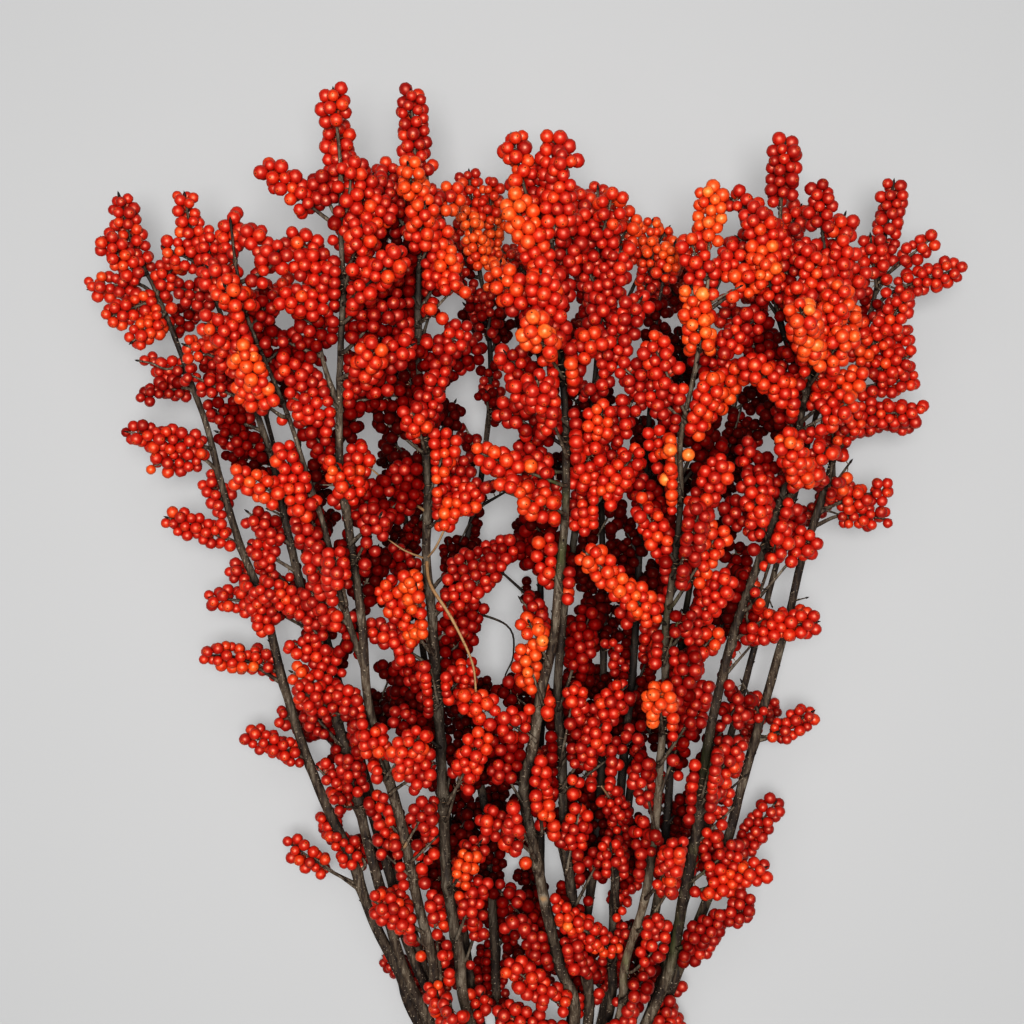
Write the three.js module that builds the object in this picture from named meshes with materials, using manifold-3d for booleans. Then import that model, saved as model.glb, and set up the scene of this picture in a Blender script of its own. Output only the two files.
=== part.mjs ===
// A cut bunch of winterberry lying on its side: nineteen fruiting branches held by one tie.
// Millimetres, +Z up. The bunch lies along +Y, tips towards +Y and cut ends towards -Y.
import * as THREE from "three";
import { mergeVertices } from "three/addons/utils/BufferGeometryUtils.js";
import Module from "manifold-3d";

const wasm = await Module();
wasm.setup();

// Driving dimensions.
const CUT_Y = -443; // cut ends of the stems
const TIE_Y = -372; // middle of the tie
const TIE_X = 15;
const TIE_WIDTH = 16;
const TIE_WALL = 1.6;
const TIE_GAP = 0.35; // between the tie and the stems it holds
const STEM_PITCH = 10.7; // between neighbouring stems inside the tie
const STEM_RADIUS = 5.8; // over a stem's corners, at the tie
const STEM_SIDES = 6;
const STOUT_TAPER = 2.2; // a stout stem keeps its girth, as this power of its length
const SLENDER_TAPER = 0.8;
const TIP_RADIUS = 1.2;
const ARM_RADIUS = 3.4; // where a side arm leaves its stem
const ARM_SIDES = 4;
const TWIG_RADIUS = 1.5;
const TWIG_SIDES = 3;
const BERRY_RADIUS = 4.2;
const BERRY_STEP = 7; // along a cluster, from one ring of berries to the next
const CLUSTER_SIDES = 4;
const CLUSTER_RADIUS = 11; // over a cluster's berries, where it is thickest
const CLUSTER_SWELL = [0.3, 0.8]; // its first and last ring, as shares of a half turn
const CLUSTER_ROOM = 10.6; // half the room that a cluster keeps to itself
const SHORTEST_CLUSTER = 11;
const CLUSTER_START = 15; // from the middle of the stem
const CUT_FLARE = 1.12; // the cut ends stand a little wider than the tie
const PLAN_HEIGHT = 135; // middle of the bunch above the surface that it lies on
const PLAN_TOP = 455; // the highest tip in the plan

// The plan below is the bunch as it lines up for an eye straight above it. It is true to
// size at PLAN_HEIGHT and draws in towards the eye's own axis above that height.
const EYE = new THREE.Vector3(-10, 158, 1235);

// Rules of growth.
const BARE_TWIG = 26; // a spur longer than this before its first berry shows a bare twig
const SPUR_RISE = 0.6; // how steeply a spur leaves its stem
const BASE_LIFT = 0.4; // share of a spur's lift that it has at its first berry
const THIN_START = 0.15; // share of a cluster that is as thin as its twig
const GOLDEN_TURN = Math.PI * (3 - Math.sqrt(5));
const GOLDEN_SHARE = (Math.sqrt(5) - 1) / 2;
const CLEARANCE = 0.5; // between one branch and the next
const OWN_SPACING = 21; // between the middles of two clusters on one branch
const LIFT_STEPS = [0, 7, -7, 14, -14, 21, -21, 28, -28, 36, -36, 44, -44];
const LOWEST_TIP = 2.4; // height of the lowest tip, which leaves its berry flat where it rests
const FIRST_BACK_SPUR = 0.3; // rule-placed spurs start here, as a share of the stem
const BACK_SPUR_STEP = 0.09;
const BACK_SPUR_DROOP = 0.8; // how far such spurs keep below their stem
const BACK_SPUR_LEAN = 0.85; // angle between such a spur and its stem, radians
const BACK_SPUR_LENGTHS = [40, 64];
const TWIG_SUNK = 0.3; // share of a cluster that a long bare twig runs into
const SPOTS_A_RING = 8; // places along a limb, from one ring to the next, where a spur may root
const TINY = 1e-9;

// Each branch: its place in the tie (pitches across, rows up), its rise over the plan's middle
// height at the top, its limbs (the stem first, then side arms) as [x, y] in the plan, and its
// spurs as [limb, x and y of the first berry, x and y of the tip, lift of the tip].
const BRANCHES = [
  { // the outermost one on the left
    slot: [-2, 0],
    rise: 5,
    stout: true,
    limbs: [
      [
        [-75, -200], [-88, -166], [-108, -126], [-123, -83], [-141, -45], [-159, 2], [-172, 46],
        [-184, 94], [-200, 134], [-213, 176], [-223, 216], [-234, 247], [-246, 280], [-261, 316],
        [-276, 346], [-285, 379],
      ],
    ],
    spurs: [
      [0, -270, 331, -284, 382, 6], [0, -274, 318, -305, 314, 0], [0, -254, 296, -276, 277, 22],
      [0, -239, 245, -267, 238, 6], [0, -230, 196, -263, 190, 14], [0, -209, 156, -223, 183, -5],
      [0, -211, 140, -251, 154, 6], [0, -185, 95, -220, 98, 8], [0, -178, 48, -194, 58, -4],
      [0, -158, -13, -195, 2, 6], [0, -141, -91, -164, -75, 6], [0, -258, 312, -245, 333, 12],
      [0, -246, 286, -228, 307, -6],
    ],
  },
  { // left
    slot: [-1.5, 1],
    rise: 40,
    stout: true,
    limbs: [
      [
        [-67, -200], [-87, -158], [-100, -113], [-111, -73], [-123, -21], [-136, 23], [-150, 72],
        [-160, 114], [-168, 149], [-177, 191], [-187, 223], [-199, 256], [-211, 289], [-223, 321],
        [-234, 352], [-239, 379],
      ],
    ],
    spurs: [
      [0, -229, 342, -239, 379, 4], [0, -206, 261, -239, 275, 22], [0, -193, 218, -224, 231, 4],
      [0, -181, 192, -209, 200, -10], [0, -165, 135, -195, 158, 10], [0, -150, 90, -188, 107, 20],
      [0, -134, 52, -164, 67, 15], [0, -129, -6, -155, 23, 8], [0, -122, -46, -146, -21, 16],
    ],
  },
  { // left front, forked
    slot: [-1, 2],
    rise: 80,
    stout: true,
    limbs: [
      [
        [-57, -200], [-66, -154], [-77, -110], [-87, -62], [-99, -19], [-111, 27], [-114, 69],
        [-118, 104], [-123, 139], [-130, 184], [-131, 230], [-130, 272], [-128, 314], [-130, 356],
        [-130, 398], [-135, 452],
      ],
      [
        [-112, 46], [-122, 74], [-133, 110], [-141, 146], [-155, 189], [-167, 226], [-182, 262],
        [-196, 296], [-203, 329], [-207, 361],
      ],
      [
        [-130, 231], [-140, 256], [-146, 282],
      ],
    ],
    spurs: [
      [0, -134, 433, -136, 453, 0], [0, -125, 372, -122, 401, 8], [0, -151, 372, -181, 398, 6],
      [0, -146, 337, -165, 351, 6], [2, -141, 268, -178, 281, 0], [0, -136, 197, -155, 219, 4],
      [0, -127, 326, -99, 373, 12], [0, -127, 291, -90, 329, 10], [0, -127, 253, -80, 275, 22],
      [0, -128, 209, -113, 235, -12], [0, -122, 171, -132, 190, 28], [0, -122, 153, -81, 188, 15],
      [0, -120, 123, -102, 156, 14], [1, -200, 305, -223, 329, 10], [1, -197, 299, -169, 317, 5],
      [1, -190, 274, -223, 289, 6], [1, -171, 225, -200, 246, 16], [1, -155, 163, -202, 182, 30],
      [1, -146, 144, -158, 167, -4], [1, -130, 92, -150, 128, 26], [1, -122, 62, -134, 83, -8],
      [1, -204, 333, -207, 361, 0], [0, -108, 1, -127, 30, 15], [0, -94, -38, -64, -18, 26],
      [0, -98, -38, -125, -20, 14], [0, -81, -97, -111, -71, 12], [0, -85, -76, -69, -49, 8],
      [0, -60, -167, -66, -117, 26], [0, -53, -185, -56, -164, 20], [0, -60, -118, -71, -94, -10],
    ],
  },
  { // left, slender, inside
    slot: [-1, 0],
    rise: -25,
    back: 4,
    limbs: [
      [
        [-57, -200], [-83, -145], [-97, -92], [-112, -43], [-127, -5], [-136, 34], [-144, 76],
        [-154, 125], [-160, 174], [-158, 223], [-153, 265], [-148, 307], [-150, 342],
      ],
    ],
    spurs: [
      [0, -88, -117, -104, -103, 0], [0, -127, -13, -136, 2, -5], [0, -150, 307, -149, 342, 0],
    ],
  },
  { // front, left of the middle
    slot: [-0.5, 1],
    rise: 45,
    stout: true,
    limbs: [
      [
        [-39, -200], [-47, -152], [-55, -103], [-58, -54], [-60, -5], [-63, 41], [-66, 83], [-70, 125],
        [-69, 167], [-71, 212], [-75, 258], [-76, 300], [-75, 335], [-76, 373], [-78, 412], [-81, 451],
      ],
    ],
    spurs: [
      [0, -77, 406, -81, 451, 0], [0, -79, 382, -83, 402, 46], [0, -85, 358, -108, 391, 10],
      [0, -71, 357, -49, 384, 4], [0, -71, 305, -53, 338, 20], [0, -74, 277, -66, 302, 0],
      [0, -71, 239, -35, 274, -6], [0, -73, 222, -60, 253, 30], [0, -72, 186, -95, 209, -18],
      [0, -69, 179, -36, 213, 0], [0, -64, 150, -25, 179, 26], [0, -71, 106, -95, 130, 10],
      [0, -71, 53, -109, 78, 20], [0, -67, 22, -99, 50, -16], [0, -57, 92, -18, 121, 18],
      [0, -62, 22, -39, 49, 20], [0, -62, -6, -91, 18, 16], [0, -55, -56, -44, -17, 22],
      [0, -53, -101, -32, -73, 16], [0, -43, -157, -32, -125, 5], [0, -39, -199, -31, -180, 12],
    ],
  },
  { // slender, behind the middle
    slot: [-0.5, -1],
    rise: -45,
    back: 3,
    limbs: [
      [
        [-18, -200], [-22, -148], [-25, -99], [-29, -50], [-38, -5], [-47, 34], [-52, 72], [-50, 111],
        [-41, 142], [-33, 174], [-28, 209], [-25, 247], [-27, 293], [-34, 335], [-38, 366], [-40, 395],
      ],
    ],
    spurs: [
      [0, -31, 333, -43, 366, 30], [0, -27, 284, -18, 333, 26], [0, -28, 286, -43, 303, -4],
      [0, -25, 242, -27, 259, 12], [0, -52, 65, -45, 97, -6], [0, -45, 127, -36, 153, -8],
    ],
  },
  { // front and middle
    slot: [0, 2],
    rise: 85,
    stout: true,
    limbs: [
      [
        [34, -200], [24, -161], [14, -120], [5, -75], [-2, -36], [5, -5], [10, 30], [19, 69], [23, 111],
        [27, 153], [28, 202], [26, 247], [22, 293], [19, 331], [17, 373], [21, 417],
      ],
    ],
    spurs: [
      [0, 3, 372, -10, 421, 2], [0, 18, 312, -8, 375, 25], [0, 20, 305, 34, 364, 18],
      [0, 22, 270, 10, 326, 46], [0, 25, 253, 3, 290, 66], [0, 26, 249, 46, 280, 46],
      [0, 27, 221, -15, 270, 25], [0, 27, 204, -18, 230, 10], [0, 22, 178, -32, 199, 32],
      [0, 24, 158, -15, 172, 26], [0, 24, 102, 13, 135, 10], [0, 12, 22, 0, 57, 20],
      [0, 18, 67, -4, 97, 0], [0, 3, 1, -41, 27, 22], [0, 3, -24, -25, 1, 5], [0, 11, -66, 4, -20, 20],
      [0, 3, -80, -29, -54, 26], [0, 13, -143, -18, -108, -3], [0, 24, -186, -10, -161, 26],
      [0, 28, -211, -18, -192, 16],
    ],
  },
  { // behind the middle one
    slot: [0.5, 1],
    rise: 42,
    stout: true,
    limbs: [
      [
        [43, -200], [38, -148], [31, -103], [26, -57], [25, -12], [22, 30], [25, 76], [31, 121],
        [37, 163], [43, 205], [48, 247], [50, 289], [50, 331], [50, 384],
      ],
    ],
    spurs: [
      [0, 52, 344, 37, 382, 3], [0, 52, 319, 75, 366, 8], [0, 50, 284, 66, 342, 16],
      [0, 46, 244, 80, 307, 36], [0, 41, 179, 74, 235, 40], [0, 39, 151, 77, 200, 36],
      [0, 38, 188, 34, 219, 20], [0, 34, 116, 62, 162, -12], [0, 24, 11, 41, 53, -8],
      [0, 24, -20, 69, 35, 22], [0, 26, -38, 80, 2, 16], [0, 26, -66, 45, -17, -12],
      [0, 29, -101, 18, -57, 22], [0, 34, -118, 52, -83, 5], [0, 45, -206, 52, -183, 46],
      [0, 31, 69, 52, 97, -5],
    ],
  },
  { // front, right of the middle
    slot: [1, 2],
    rise: 80,
    stout: true,
    limbs: [
      [
        [64, -200], [69, -159], [83, -113], [90, -64], [94, -15], [97, 34], [98, 79], [104, 125],
        [108, 167], [108, 209], [117, 252], [122, 282], [127, 317], [128, 349], [129, 384],
      ],
    ],
    spurs: [
      [0, 127, 347, 129, 384, 0], [0, 122, 274, 116, 314, 26], [0, 125, 298, 146, 342, 12],
      [0, 122, 260, 164, 296, 16], [0, 111, 228, 87, 279, 20], [0, 118, 221, 150, 260, 26],
      [0, 108, 172, 90, 216, 20], [0, 110, 186, 129, 233, 8], [0, 105, 134, 76, 181, 15],
      [0, 109, 141, 136, 191, 5], [0, 106, 116, 122, 160, 22], [0, 99, 60, 140, 111, 26],
      [0, 97, 32, 136, 76, 20], [0, 95, 4, 115, 57, 14], [0, 94, -38, 111, 8, 8],
      [0, 90, -66, 80, -15, -4], [0, 87, 87, 41, 130, 60], [0, 91, 69, 69, 93, 24],
      [0, 88, -101, 83, -61, 20], [0, 83, -132, 108, -94, 16], [0, 74, -164, 99, -139, 18],
      [0, 64, -211, 71, -188, 12],
    ],
  },
  { // right front, forked
    slot: [1.5, 1],
    rise: 45,
    stout: true,
    limbs: [
      [
        [84, -200], [101, -159], [111, -106], [120, -61], [126, -12], [135, 34], [148, 83], [162, 121],
        [176, 160], [187, 195], [194, 233], [203, 265], [209, 296], [210, 328], [207, 357], [206, 384],
      ],
      [
        [196, 238], [185, 270], [176, 300], [177, 333], [178, 370], [181, 416],
      ],
    ],
    spurs: [
      [1, 179, 377, 181, 416, 0], [1, 176, 351, 144, 377, 5], [1, 176, 295, 153, 328, 24],
      [1, 178, 344, 192, 372, 5], [1, 174, 274, 136, 300, 10], [0, 192, 235, 157, 261, 20],
      [0, 210, 328, 223, 366, 3], [0, 209, 291, 235, 326, 5], [0, 204, 270, 188, 316, 45],
      [0, 200, 249, 223, 282, 52], [0, 197, 225, 231, 253, 30], [0, 192, 207, 181, 239, 15],
      [0, 192, 179, 183, 209, 62], [0, 181, 165, 153, 202, 15], [0, 171, 134, 143, 162, 26],
      [0, 183, 158, 207, 179, 20], [0, 160, 95, 199, 141, 12], [0, 155, 81, 146, 134, -6],
      [0, 157, 74, 203, 81, 12], [0, 141, 46, 157, 64, 4], [0, 130, -6, 153, 32, -4],
      [0, 124, -45, 146, -6, 14], [0, 120, -73, 146, -48, 8], [0, 132, -24, 102, -31, 22],
      [0, 127, -105, 167, -91, 16], [0, 110, -153, 130, -138, 8],
    ],
  },
  { // the outermost one on the right
    slot: [2, 0],
    rise: 0,
    stout: true,
    limbs: [
      [
        [90, -200], [108, -159], [126, -115], [140, -75], [151, -33], [162, 6], [173, 46], [184, 86],
        [193, 125], [206, 165], [217, 202], [227, 237], [235, 275], [244, 310], [251, 349], [257, 388],
      ],
    ],
    spurs: [
      [0, 248, 333, 257, 388, 0], [0, 260, 314, 304, 329, 3], [0, 245, 316, 241, 351, 3],
      [0, 242, 274, 265, 307, 20], [0, 235, 245, 270, 251, -3], [0, 230, 219, 265, 218, -5],
      [0, 215, 179, 214, 226, 3], [0, 222, 156, 253, 153, 0], [0, 174, 2, 200, 18, 3],
      [0, 148, -80, 174, -46, 5], [0, 102, -204, 102, -176, 5],
    ],
  },
  { // inside, right of the middle
    slot: [0.5, -1],
    rise: 10,
    stout: true,
    limbs: [
      [
        [56, -200], [60, -152], [62, -103], [65, -54], [69, -5], [74, 37], [77, 83], [79, 125],
        [82, 167], [85, 209], [88, 251], [91, 289], [96, 321], [104, 346],
      ],
    ],
    spurs: [
      [0, 74, 39, 60, 65, 5], [0, 62, -94, 66, -49, 22], [0, 63, -115, 84, -82, 10],
      [0, 60, -160, 73, -131, 20], [0, 59, -148, 18, -119, 26], [0, 59, -167, 22, -147, 18],
      [0, 80, 102, 59, 141, -5], [0, 80, 95, 94, 139, -8], [0, 73, -15, 85, 23, -6],
    ],
  },
  { // slender, inside
    slot: [0, 0],
    rise: -40,
    back: 3,
    limbs: [
      [
        [31, -200], [39, -148], [46, -99], [51, -50], [53, -1], [54, 48], [54, 97], [53, 146],
        [52, 195], [53, 237], [59, 275], [71, 307], [84, 333], [99, 356],
      ],
    ],
    spurs: [
      [0, 83, 305, 111, 344, 12], [0, 52, 160, 38, 188, -4],
    ],
  },
  { // slender, inside right
    slot: [1, 0],
    rise: -35,
    back: 4,
    limbs: [
      [
        [73, -200], [85, -148], [94, -99], [99, -50], [102, -1], [106, 48], [113, 97], [123, 142],
        [134, 184], [144, 226], [153, 265], [158, 303], [162, 333],
      ],
    ],
    spurs: [
      [0, 104, -15, 122, 27, -6], [0, 122, 125, 146, 153, -4], [0, 147, 230, 171, 247, -6],
    ],
  },
  { // back, left
    slot: [-1.5, -1],
    rise: -45,
    back: 7,
    limbs: [
      [
        [-57, -200], [-79, -137], [-98, -74], [-117, -10], [-135, 53], [-152, 117], [-170, 180],
        [-187, 243], [-204, 307],
      ],
    ],
    spurs: [],
  },
  { // back, right
    slot: [1.5, -1],
    rise: -45,
    back: 7,
    limbs: [
      [
        [83, -200], [104, -137], [122, -74], [140, -10], [157, 53], [174, 117], [191, 180], [207, 243],
        [223, 307],
      ],
    ],
    spurs: [],
  },
  { // back, left of the middle
    slot: [-1, -2],
    rise: -85,
    back: 8,
    limbs: [
      [
        [-32, -200], [-44, -134], [-54, -67], [-63, 0], [-73, 66], [-82, 133], [-91, 200], [-100, 267],
        [-109, 333],
      ],
    ],
    spurs: [],
  },
  { // back, middle
    slot: [0, -2],
    rise: -92,
    back: 8,
    limbs: [
      [
        [10, -200], [10, -132], [10, -63], [10, 6], [10, 74], [10, 143], [10, 211], [10, 280],
        [10, 349],
      ],
    ],
    spurs: [
      [0, 10, 127, -4, 153, 12],
    ],
  },
  { // back, right of the middle
    slot: [1, -2],
    rise: -85,
    back: 8,
    limbs: [
      [
        [52, -200], [61, -134], [69, -67], [77, 0], [85, 66], [93, 133], [100, 200], [108, 267],
        [115, 333],
      ],
    ],
    spurs: [],
  },
];

const ROW_HEIGHT = (STEM_PITCH * Math.sqrt(3)) / 2;
const TIE_REACH = STEM_RADIUS + TIE_GAP + TIE_WALL;
const TIE_Z = 2 * ROW_HEIGHT + TIE_REACH; // the tie's flat underside lies on the surface
const UP = new THREE.Vector3(0, 0, 1);

function fromPlan(x, y, z) {
  const scale = (EYE.z - z) / (EYE.z - PLAN_HEIGHT);
  return new THREE.Vector3(EYE.x + (x - EYE.x) * scale, EYE.y + (y - EYE.y) * scale, z);
}

function toPlan(point) {
  const scale = (EYE.z - PLAN_HEIGHT) / (EYE.z - point.z);
  return new THREE.Vector2(EYE.x + (point.x - EYE.x) * scale, EYE.y + (point.y - EYE.y) * scale);
}

const TIE_IN_PLAN = toPlan(new THREE.Vector3(TIE_X, TIE_Y, TIE_Z)).y;

// ---- solids -------------------------------------------------------------------------

function solid(geometry) {
  geometry.deleteAttribute("normal");
  geometry.deleteAttribute("uv");
  const merged = mergeVertices(geometry, 1e-4);
  return new wasm.Manifold(
    new wasm.Mesh({
      numProp: 3,
      vertProperties: merged.attributes.position.array,
      triVerts: new Uint32Array(merged.index.array),
    }),
  );
}

function meshOf(name, shape, material) {
  const mesh = shape.getMesh();
  const geometry = new THREE.BufferGeometry();
  geometry.setAttribute("position", new THREE.BufferAttribute(mesh.vertProperties, 3));
  geometry.setIndex(new THREE.BufferAttribute(mesh.triVerts, 1));
  geometry.computeVertexNormals();
  const made = new THREE.Mesh(geometry, material);
  made.name = name;
  return made;
}

// Two directions square to a line, the first one level wherever that is possible.
function across(from, to) {
  const along = to.clone().sub(from).normalize();
  const level = Math.abs(along.z) > 0.95 ? new THREE.Vector3(1, 0, 0) : UP;
  const side = along.clone().cross(level).normalize();
  return { along, side, up: side.clone().cross(along) };
}

// Moves each corner of a geometry to where `place` puts it.
function reshape(geometry, place) {
  const corners = geometry.attributes.position;
  const corner = new THREE.Vector3();
  for (let i = 0; i < corners.count; i++) {
    const moved = place(corner.fromBufferAttribute(corners, i));
    corners.setXYZ(i, moved.x, moved.y, moved.z);
  }
  return geometry;
}

// A tapering limb through its rings, each one a centre and a radius.
function limbSolid(rings, sides) {
  const steps = rings.length - 1;
  const frames = rings.map((ring, i) => {
    const before = rings[Math.max(i - 1, 0)].centre;
    return across(before, rings[Math.min(i + 1, steps)].centre);
  });
  const tube = new THREE.CylinderGeometry(1, 1, 1, sides, steps);
  return solid(
    reshape(tube, (corner) => {
      const i = Math.round((corner.y + 0.5) * steps);
      const { side, up } = frames[i];
      return rings[i].centre
        .clone()
        .addScaledVector(side, corner.x * rings[i].radius)
        .addScaledVector(up, corner.z * rings[i].radius);
    }),
  );
}

// A cluster of berries from its tip to its root: rings of corners, each corner the outer face
// of a berry, and each ring turned half a side on from the one before.
function clusterSolid({ root, base, tip }) {
  const { side, up } = across(base, tip);
  const full = base.distanceTo(tip);
  const room = Math.min(full, root.distanceTo(tip) - CLUSTER_START);
  const length = Math.max(room, SHORTEST_CLUSTER);
  const rings = Math.max(Math.round((length - BERRY_RADIUS) / BERRY_STEP) + 1, 2);
  const surface = new THREE.SphereGeometry(1, CLUSTER_SIDES, rings + 1);
  const corners = surface.attributes.position;
  for (let i = 0; i < corners.count; i++) {
    const row = Math.floor(i / (CLUSTER_SIDES + 1));
    const column = i % (CLUSTER_SIDES + 1);
    const share = (row - 1) / (rings - 1);
    const turn = (2 * column - row) * (Math.PI / CLUSTER_SIDES);
    const radius = CLUSTER_RADIUS * Math.sin(Math.PI * THREE.MathUtils.lerp(...CLUSTER_SWELL, share));
    const away = THREE.MathUtils.lerp(BERRY_RADIUS, length, share) / full;
    let spot = tip.clone().lerp(base, away);
    spot.addScaledVector(side, -radius * Math.cos(turn)).addScaledVector(up, radius * Math.sin(turn));
    if (row === 0) spot = tip;
    if (row > rings) spot = root;
    corners.setXYZ(i, spot.x, spot.y, spot.z);
  }
  return solid(surface);
}

function spurSolid(spur) {
  const { root, base, tip } = spur;
  if (base.distanceTo(root) < BARE_TWIG) return clusterSolid(spur);
  const start = base.clone().lerp(root, BERRY_STEP / base.distanceTo(root));
  const end = base.clone().lerp(tip, TWIG_SUNK);
  const rings = [root, base, end].map((centre) => ({ centre, radius: TWIG_RADIUS }));
  return clusterSolid({ root: start, base, tip }).add(limbSolid(rings, TWIG_SIDES));
}

// ---- limbs --------------------------------------------------------------------------

function heightOf(branch, planY) {
  const climb = (planY - TIE_IN_PLAN) / (PLAN_TOP - TIE_IN_PLAN);
  const low = TIE_Z + branch.slot[1] * ROW_HEIGHT;
  return THREE.MathUtils.lerp(low, PLAN_HEIGHT + branch.rise, climb);
}

function onPlan(branch, [x, y]) {
  return fromPlan(x, y, heightOf(branch, y));
}

// The stem's route: cut end, both edges of the tie, then the plan.
function stemRoute(branch) {
  const x = branch.slot[0] * STEM_PITCH;
  const z = TIE_Z + branch.slot[1] * ROW_HEIGHT;
  return [
    new THREE.Vector3(TIE_X + x * CUT_FLARE, CUT_Y, z),
    new THREE.Vector3(TIE_X + x, TIE_Y - TIE_WIDTH, z),
    new THREE.Vector3(TIE_X + x, TIE_Y + TIE_WIDTH, z),
    ...branch.limbs[0].map((spot) => onPlan(branch, spot)),
  ];
}

function stemRadius(branch, share) {
  const girth = branch.stout ? 1 - share ** STOUT_TAPER : (1 - share) ** SLENDER_TAPER;
  return TIP_RADIUS + (STEM_RADIUS - TIP_RADIUS) * girth;
}

function armRadius(share) {
  return ARM_RADIUS + (TIP_RADIUS - ARM_RADIUS) * share;
}

// Rings of a limb: all three low ones of a stem, then every second point of its route.
function ringsOf(route, radiusAt, lead) {
  const last = route.length - 1;
  const picks = route.map((_, i) => i).filter((i) => i < lead || i === last || (i - lead) % 2 === 1);
  return picks.map((i) => ({ centre: route[i].clone(), radius: radiusAt(i / last) }));
}

function limbsOf(branch) {
  const stem = ringsOf(stemRoute(branch), (share) => stemRadius(branch, share), 3);
  const arms = branch.limbs.slice(1).map((plan) => {
    const route = plan.map((spot) => onPlan(branch, spot));
    route[0] = nearestOn(stem, route[0]);
    return ringsOf(route, armRadius, 1);
  });
  return [stem, ...arms];
}

// Evenly spread spots along a limb's rings.
function spotsOn(rings) {
  const spots = [];
  for (let i = 0; i + 1 < rings.length; i++)
    for (let step = 0; step < SPOTS_A_RING; step++)
      spots.push(rings[i].centre.clone().lerp(rings[i + 1].centre, step / SPOTS_A_RING));
  spots.push(rings.at(-1).centre.clone());
  return spots;
}

function nearestOn(rings, point) {
  const spots = spotsOn(rings);
  return spots.reduce((a, b) => (b.distanceTo(point) < a.distanceTo(point) ? b : a));
}

// ---- spurs --------------------------------------------------------------------------

// Where a spur leaves its limb: below its first berry, by the slope that spurs grow at.
function rootOf(rings, x, y) {
  const miss = (spot) => {
    const seen = toPlan(spot);
    return Math.abs(seen.y - (y - SPUR_RISE * Math.abs(x - seen.x)));
  };
  return spotsOn(rings).reduce((a, b) => (miss(b) < miss(a) ? b : a));
}

function plannedSpur(limbs, [limb, baseX, baseY, tipX, tipY, lift], slide) {
  const root = rootOf(limbs[limb], baseX, baseY);
  const base = fromPlan(baseX, baseY, root.z + (lift + slide) * BASE_LIFT);
  const tip = fromPlan(tipX, tipY, root.z + lift + slide);
  return { root, base, tip };
}

// Spurs on the far side of the bunch, each turned on from the last by the golden angle.
function backSpur(stem, number, slide) {
  const spots = spotsOn(stem);
  const at = Math.round((FIRST_BACK_SPUR + number * BACK_SPUR_STEP) * (spots.length - 1));
  const root = spots[at];
  const ahead = Math.min(at + SPOTS_A_RING / 2, spots.length - 1);
  const { along, side, up } = across(spots[at - SPOTS_A_RING / 2], spots[ahead]);
  const turn = number * GOLDEN_TURN;
  const [short, long] = BACK_SPUR_LENGTHS;
  const length = THREE.MathUtils.lerp(short, long, (number * GOLDEN_SHARE) % 1);
  const out = side
    .multiplyScalar(Math.cos(turn))
    .addScaledVector(up, -Math.abs(Math.sin(turn)) * BACK_SPUR_DROOP);
  const heading = along.multiplyScalar(Math.cos(BACK_SPUR_LEAN));
  heading.addScaledVector(out.normalize(), Math.sin(BACK_SPUR_LEAN));
  const tip = root.clone().addScaledVector(heading, length);
  tip.z = Math.max(tip.z + slide, LOWEST_TIP);
  return { root, base: root.clone().lerp(tip, THIN_START), tip };
}

function distanceBetween(a, b) {
  const [p, q] = [a.to.clone().sub(a.from), b.to.clone().sub(b.from)];
  const r = a.from.clone().sub(b.from);
  const [pp, qq, pq, pr, qr] = [p.dot(p), q.dot(q), p.dot(q), p.dot(r), q.dot(r)];
  const bend = pp * qq - pq * pq;
  const clamp = (value) => Math.min(Math.max(value, 0), 1);
  let s = bend > TINY ? clamp((pq * qr - pr * qq) / bend) : 0;
  let t = qq > TINY ? (pq * s + qr) / qq : 0;
  if (t < 0 || t > 1) {
    t = clamp(t);
    s = pp > TINY ? clamp((pq * t - pr) / pp) : 0;
  }
  return r.addScaledVector(p, s).addScaledVector(q, -t).length();
}

// The rods that a spur fills: its thin start, and the core of its cluster.
function rodsOf(spur, owner) {
  const start = spur.base.clone().lerp(spur.tip, THIN_START);
  return [
    { owner, from: spur.root, to: start, radius: TWIG_RADIUS + 1, thin: true },
    { owner, from: start, to: spur.tip, radius: CLUSTER_ROOM },
  ];
}

function limbRods(rings, owner) {
  return rings.slice(1).map((ring, i) => ({
    owner,
    from: rings[i].centre,
    to: ring.centre,
    radius: Math.max(rings[i].radius, ring.radius),
    limb: true,
  }));
}

function hits(rod, other) {
  if (rod.owner !== other.owner)
    return distanceBetween(rod, other) < rod.radius + other.radius + CLEARANCE;
  if (other.limb || rod.thin || other.thin) return false;
  return distanceBetween(rod, other) < OWN_SPACING;
}

// Slides a spur up or down until it is clear of all that is already there.
function settle(make, owner, rods) {
  for (const slide of LIFT_STEPS) {
    const spur = make(slide);
    const own = rodsOf(spur, owner);
    if (spur.tip.z < LOWEST_TIP) continue;
    if (own.some((rod) => rods.some((other) => hits(rod, other)))) continue;
    return spur;
  }
  return null;
}

// ---- assembly -----------------------------------------------------------------------

const bark = new THREE.MeshStandardMaterial({ color: 0x5a5040, roughness: 0.85, metalness: 0 });
const twine = new THREE.MeshStandardMaterial({ color: 0xb49a6c, roughness: 0.95, metalness: 0 });

const limbs = BRANCHES.map(limbsOf);
const rods = limbs.flatMap((set, owner) => set.flatMap((rings) => limbRods(rings, owner)));
const spurs = BRANCHES.map(() => []);

function plant(make, owner) {
  const spur = settle(make, owner, rods);
  if (!spur) return;
  rods.push(...rodsOf(spur, owner));
  spurs[owner].push(spur);
}

BRANCHES.forEach((branch, owner) => {
  for (const row of branch.spurs) plant((slide) => plannedSpur(limbs[owner], row, slide), owner);
});
BRANCHES.forEach((branch, owner) => {
  for (let i = 0; i < (branch.back ?? 0); i++)
    plant((slide) => backSpur(limbs[owner][0], i, slide), owner);
});

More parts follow.
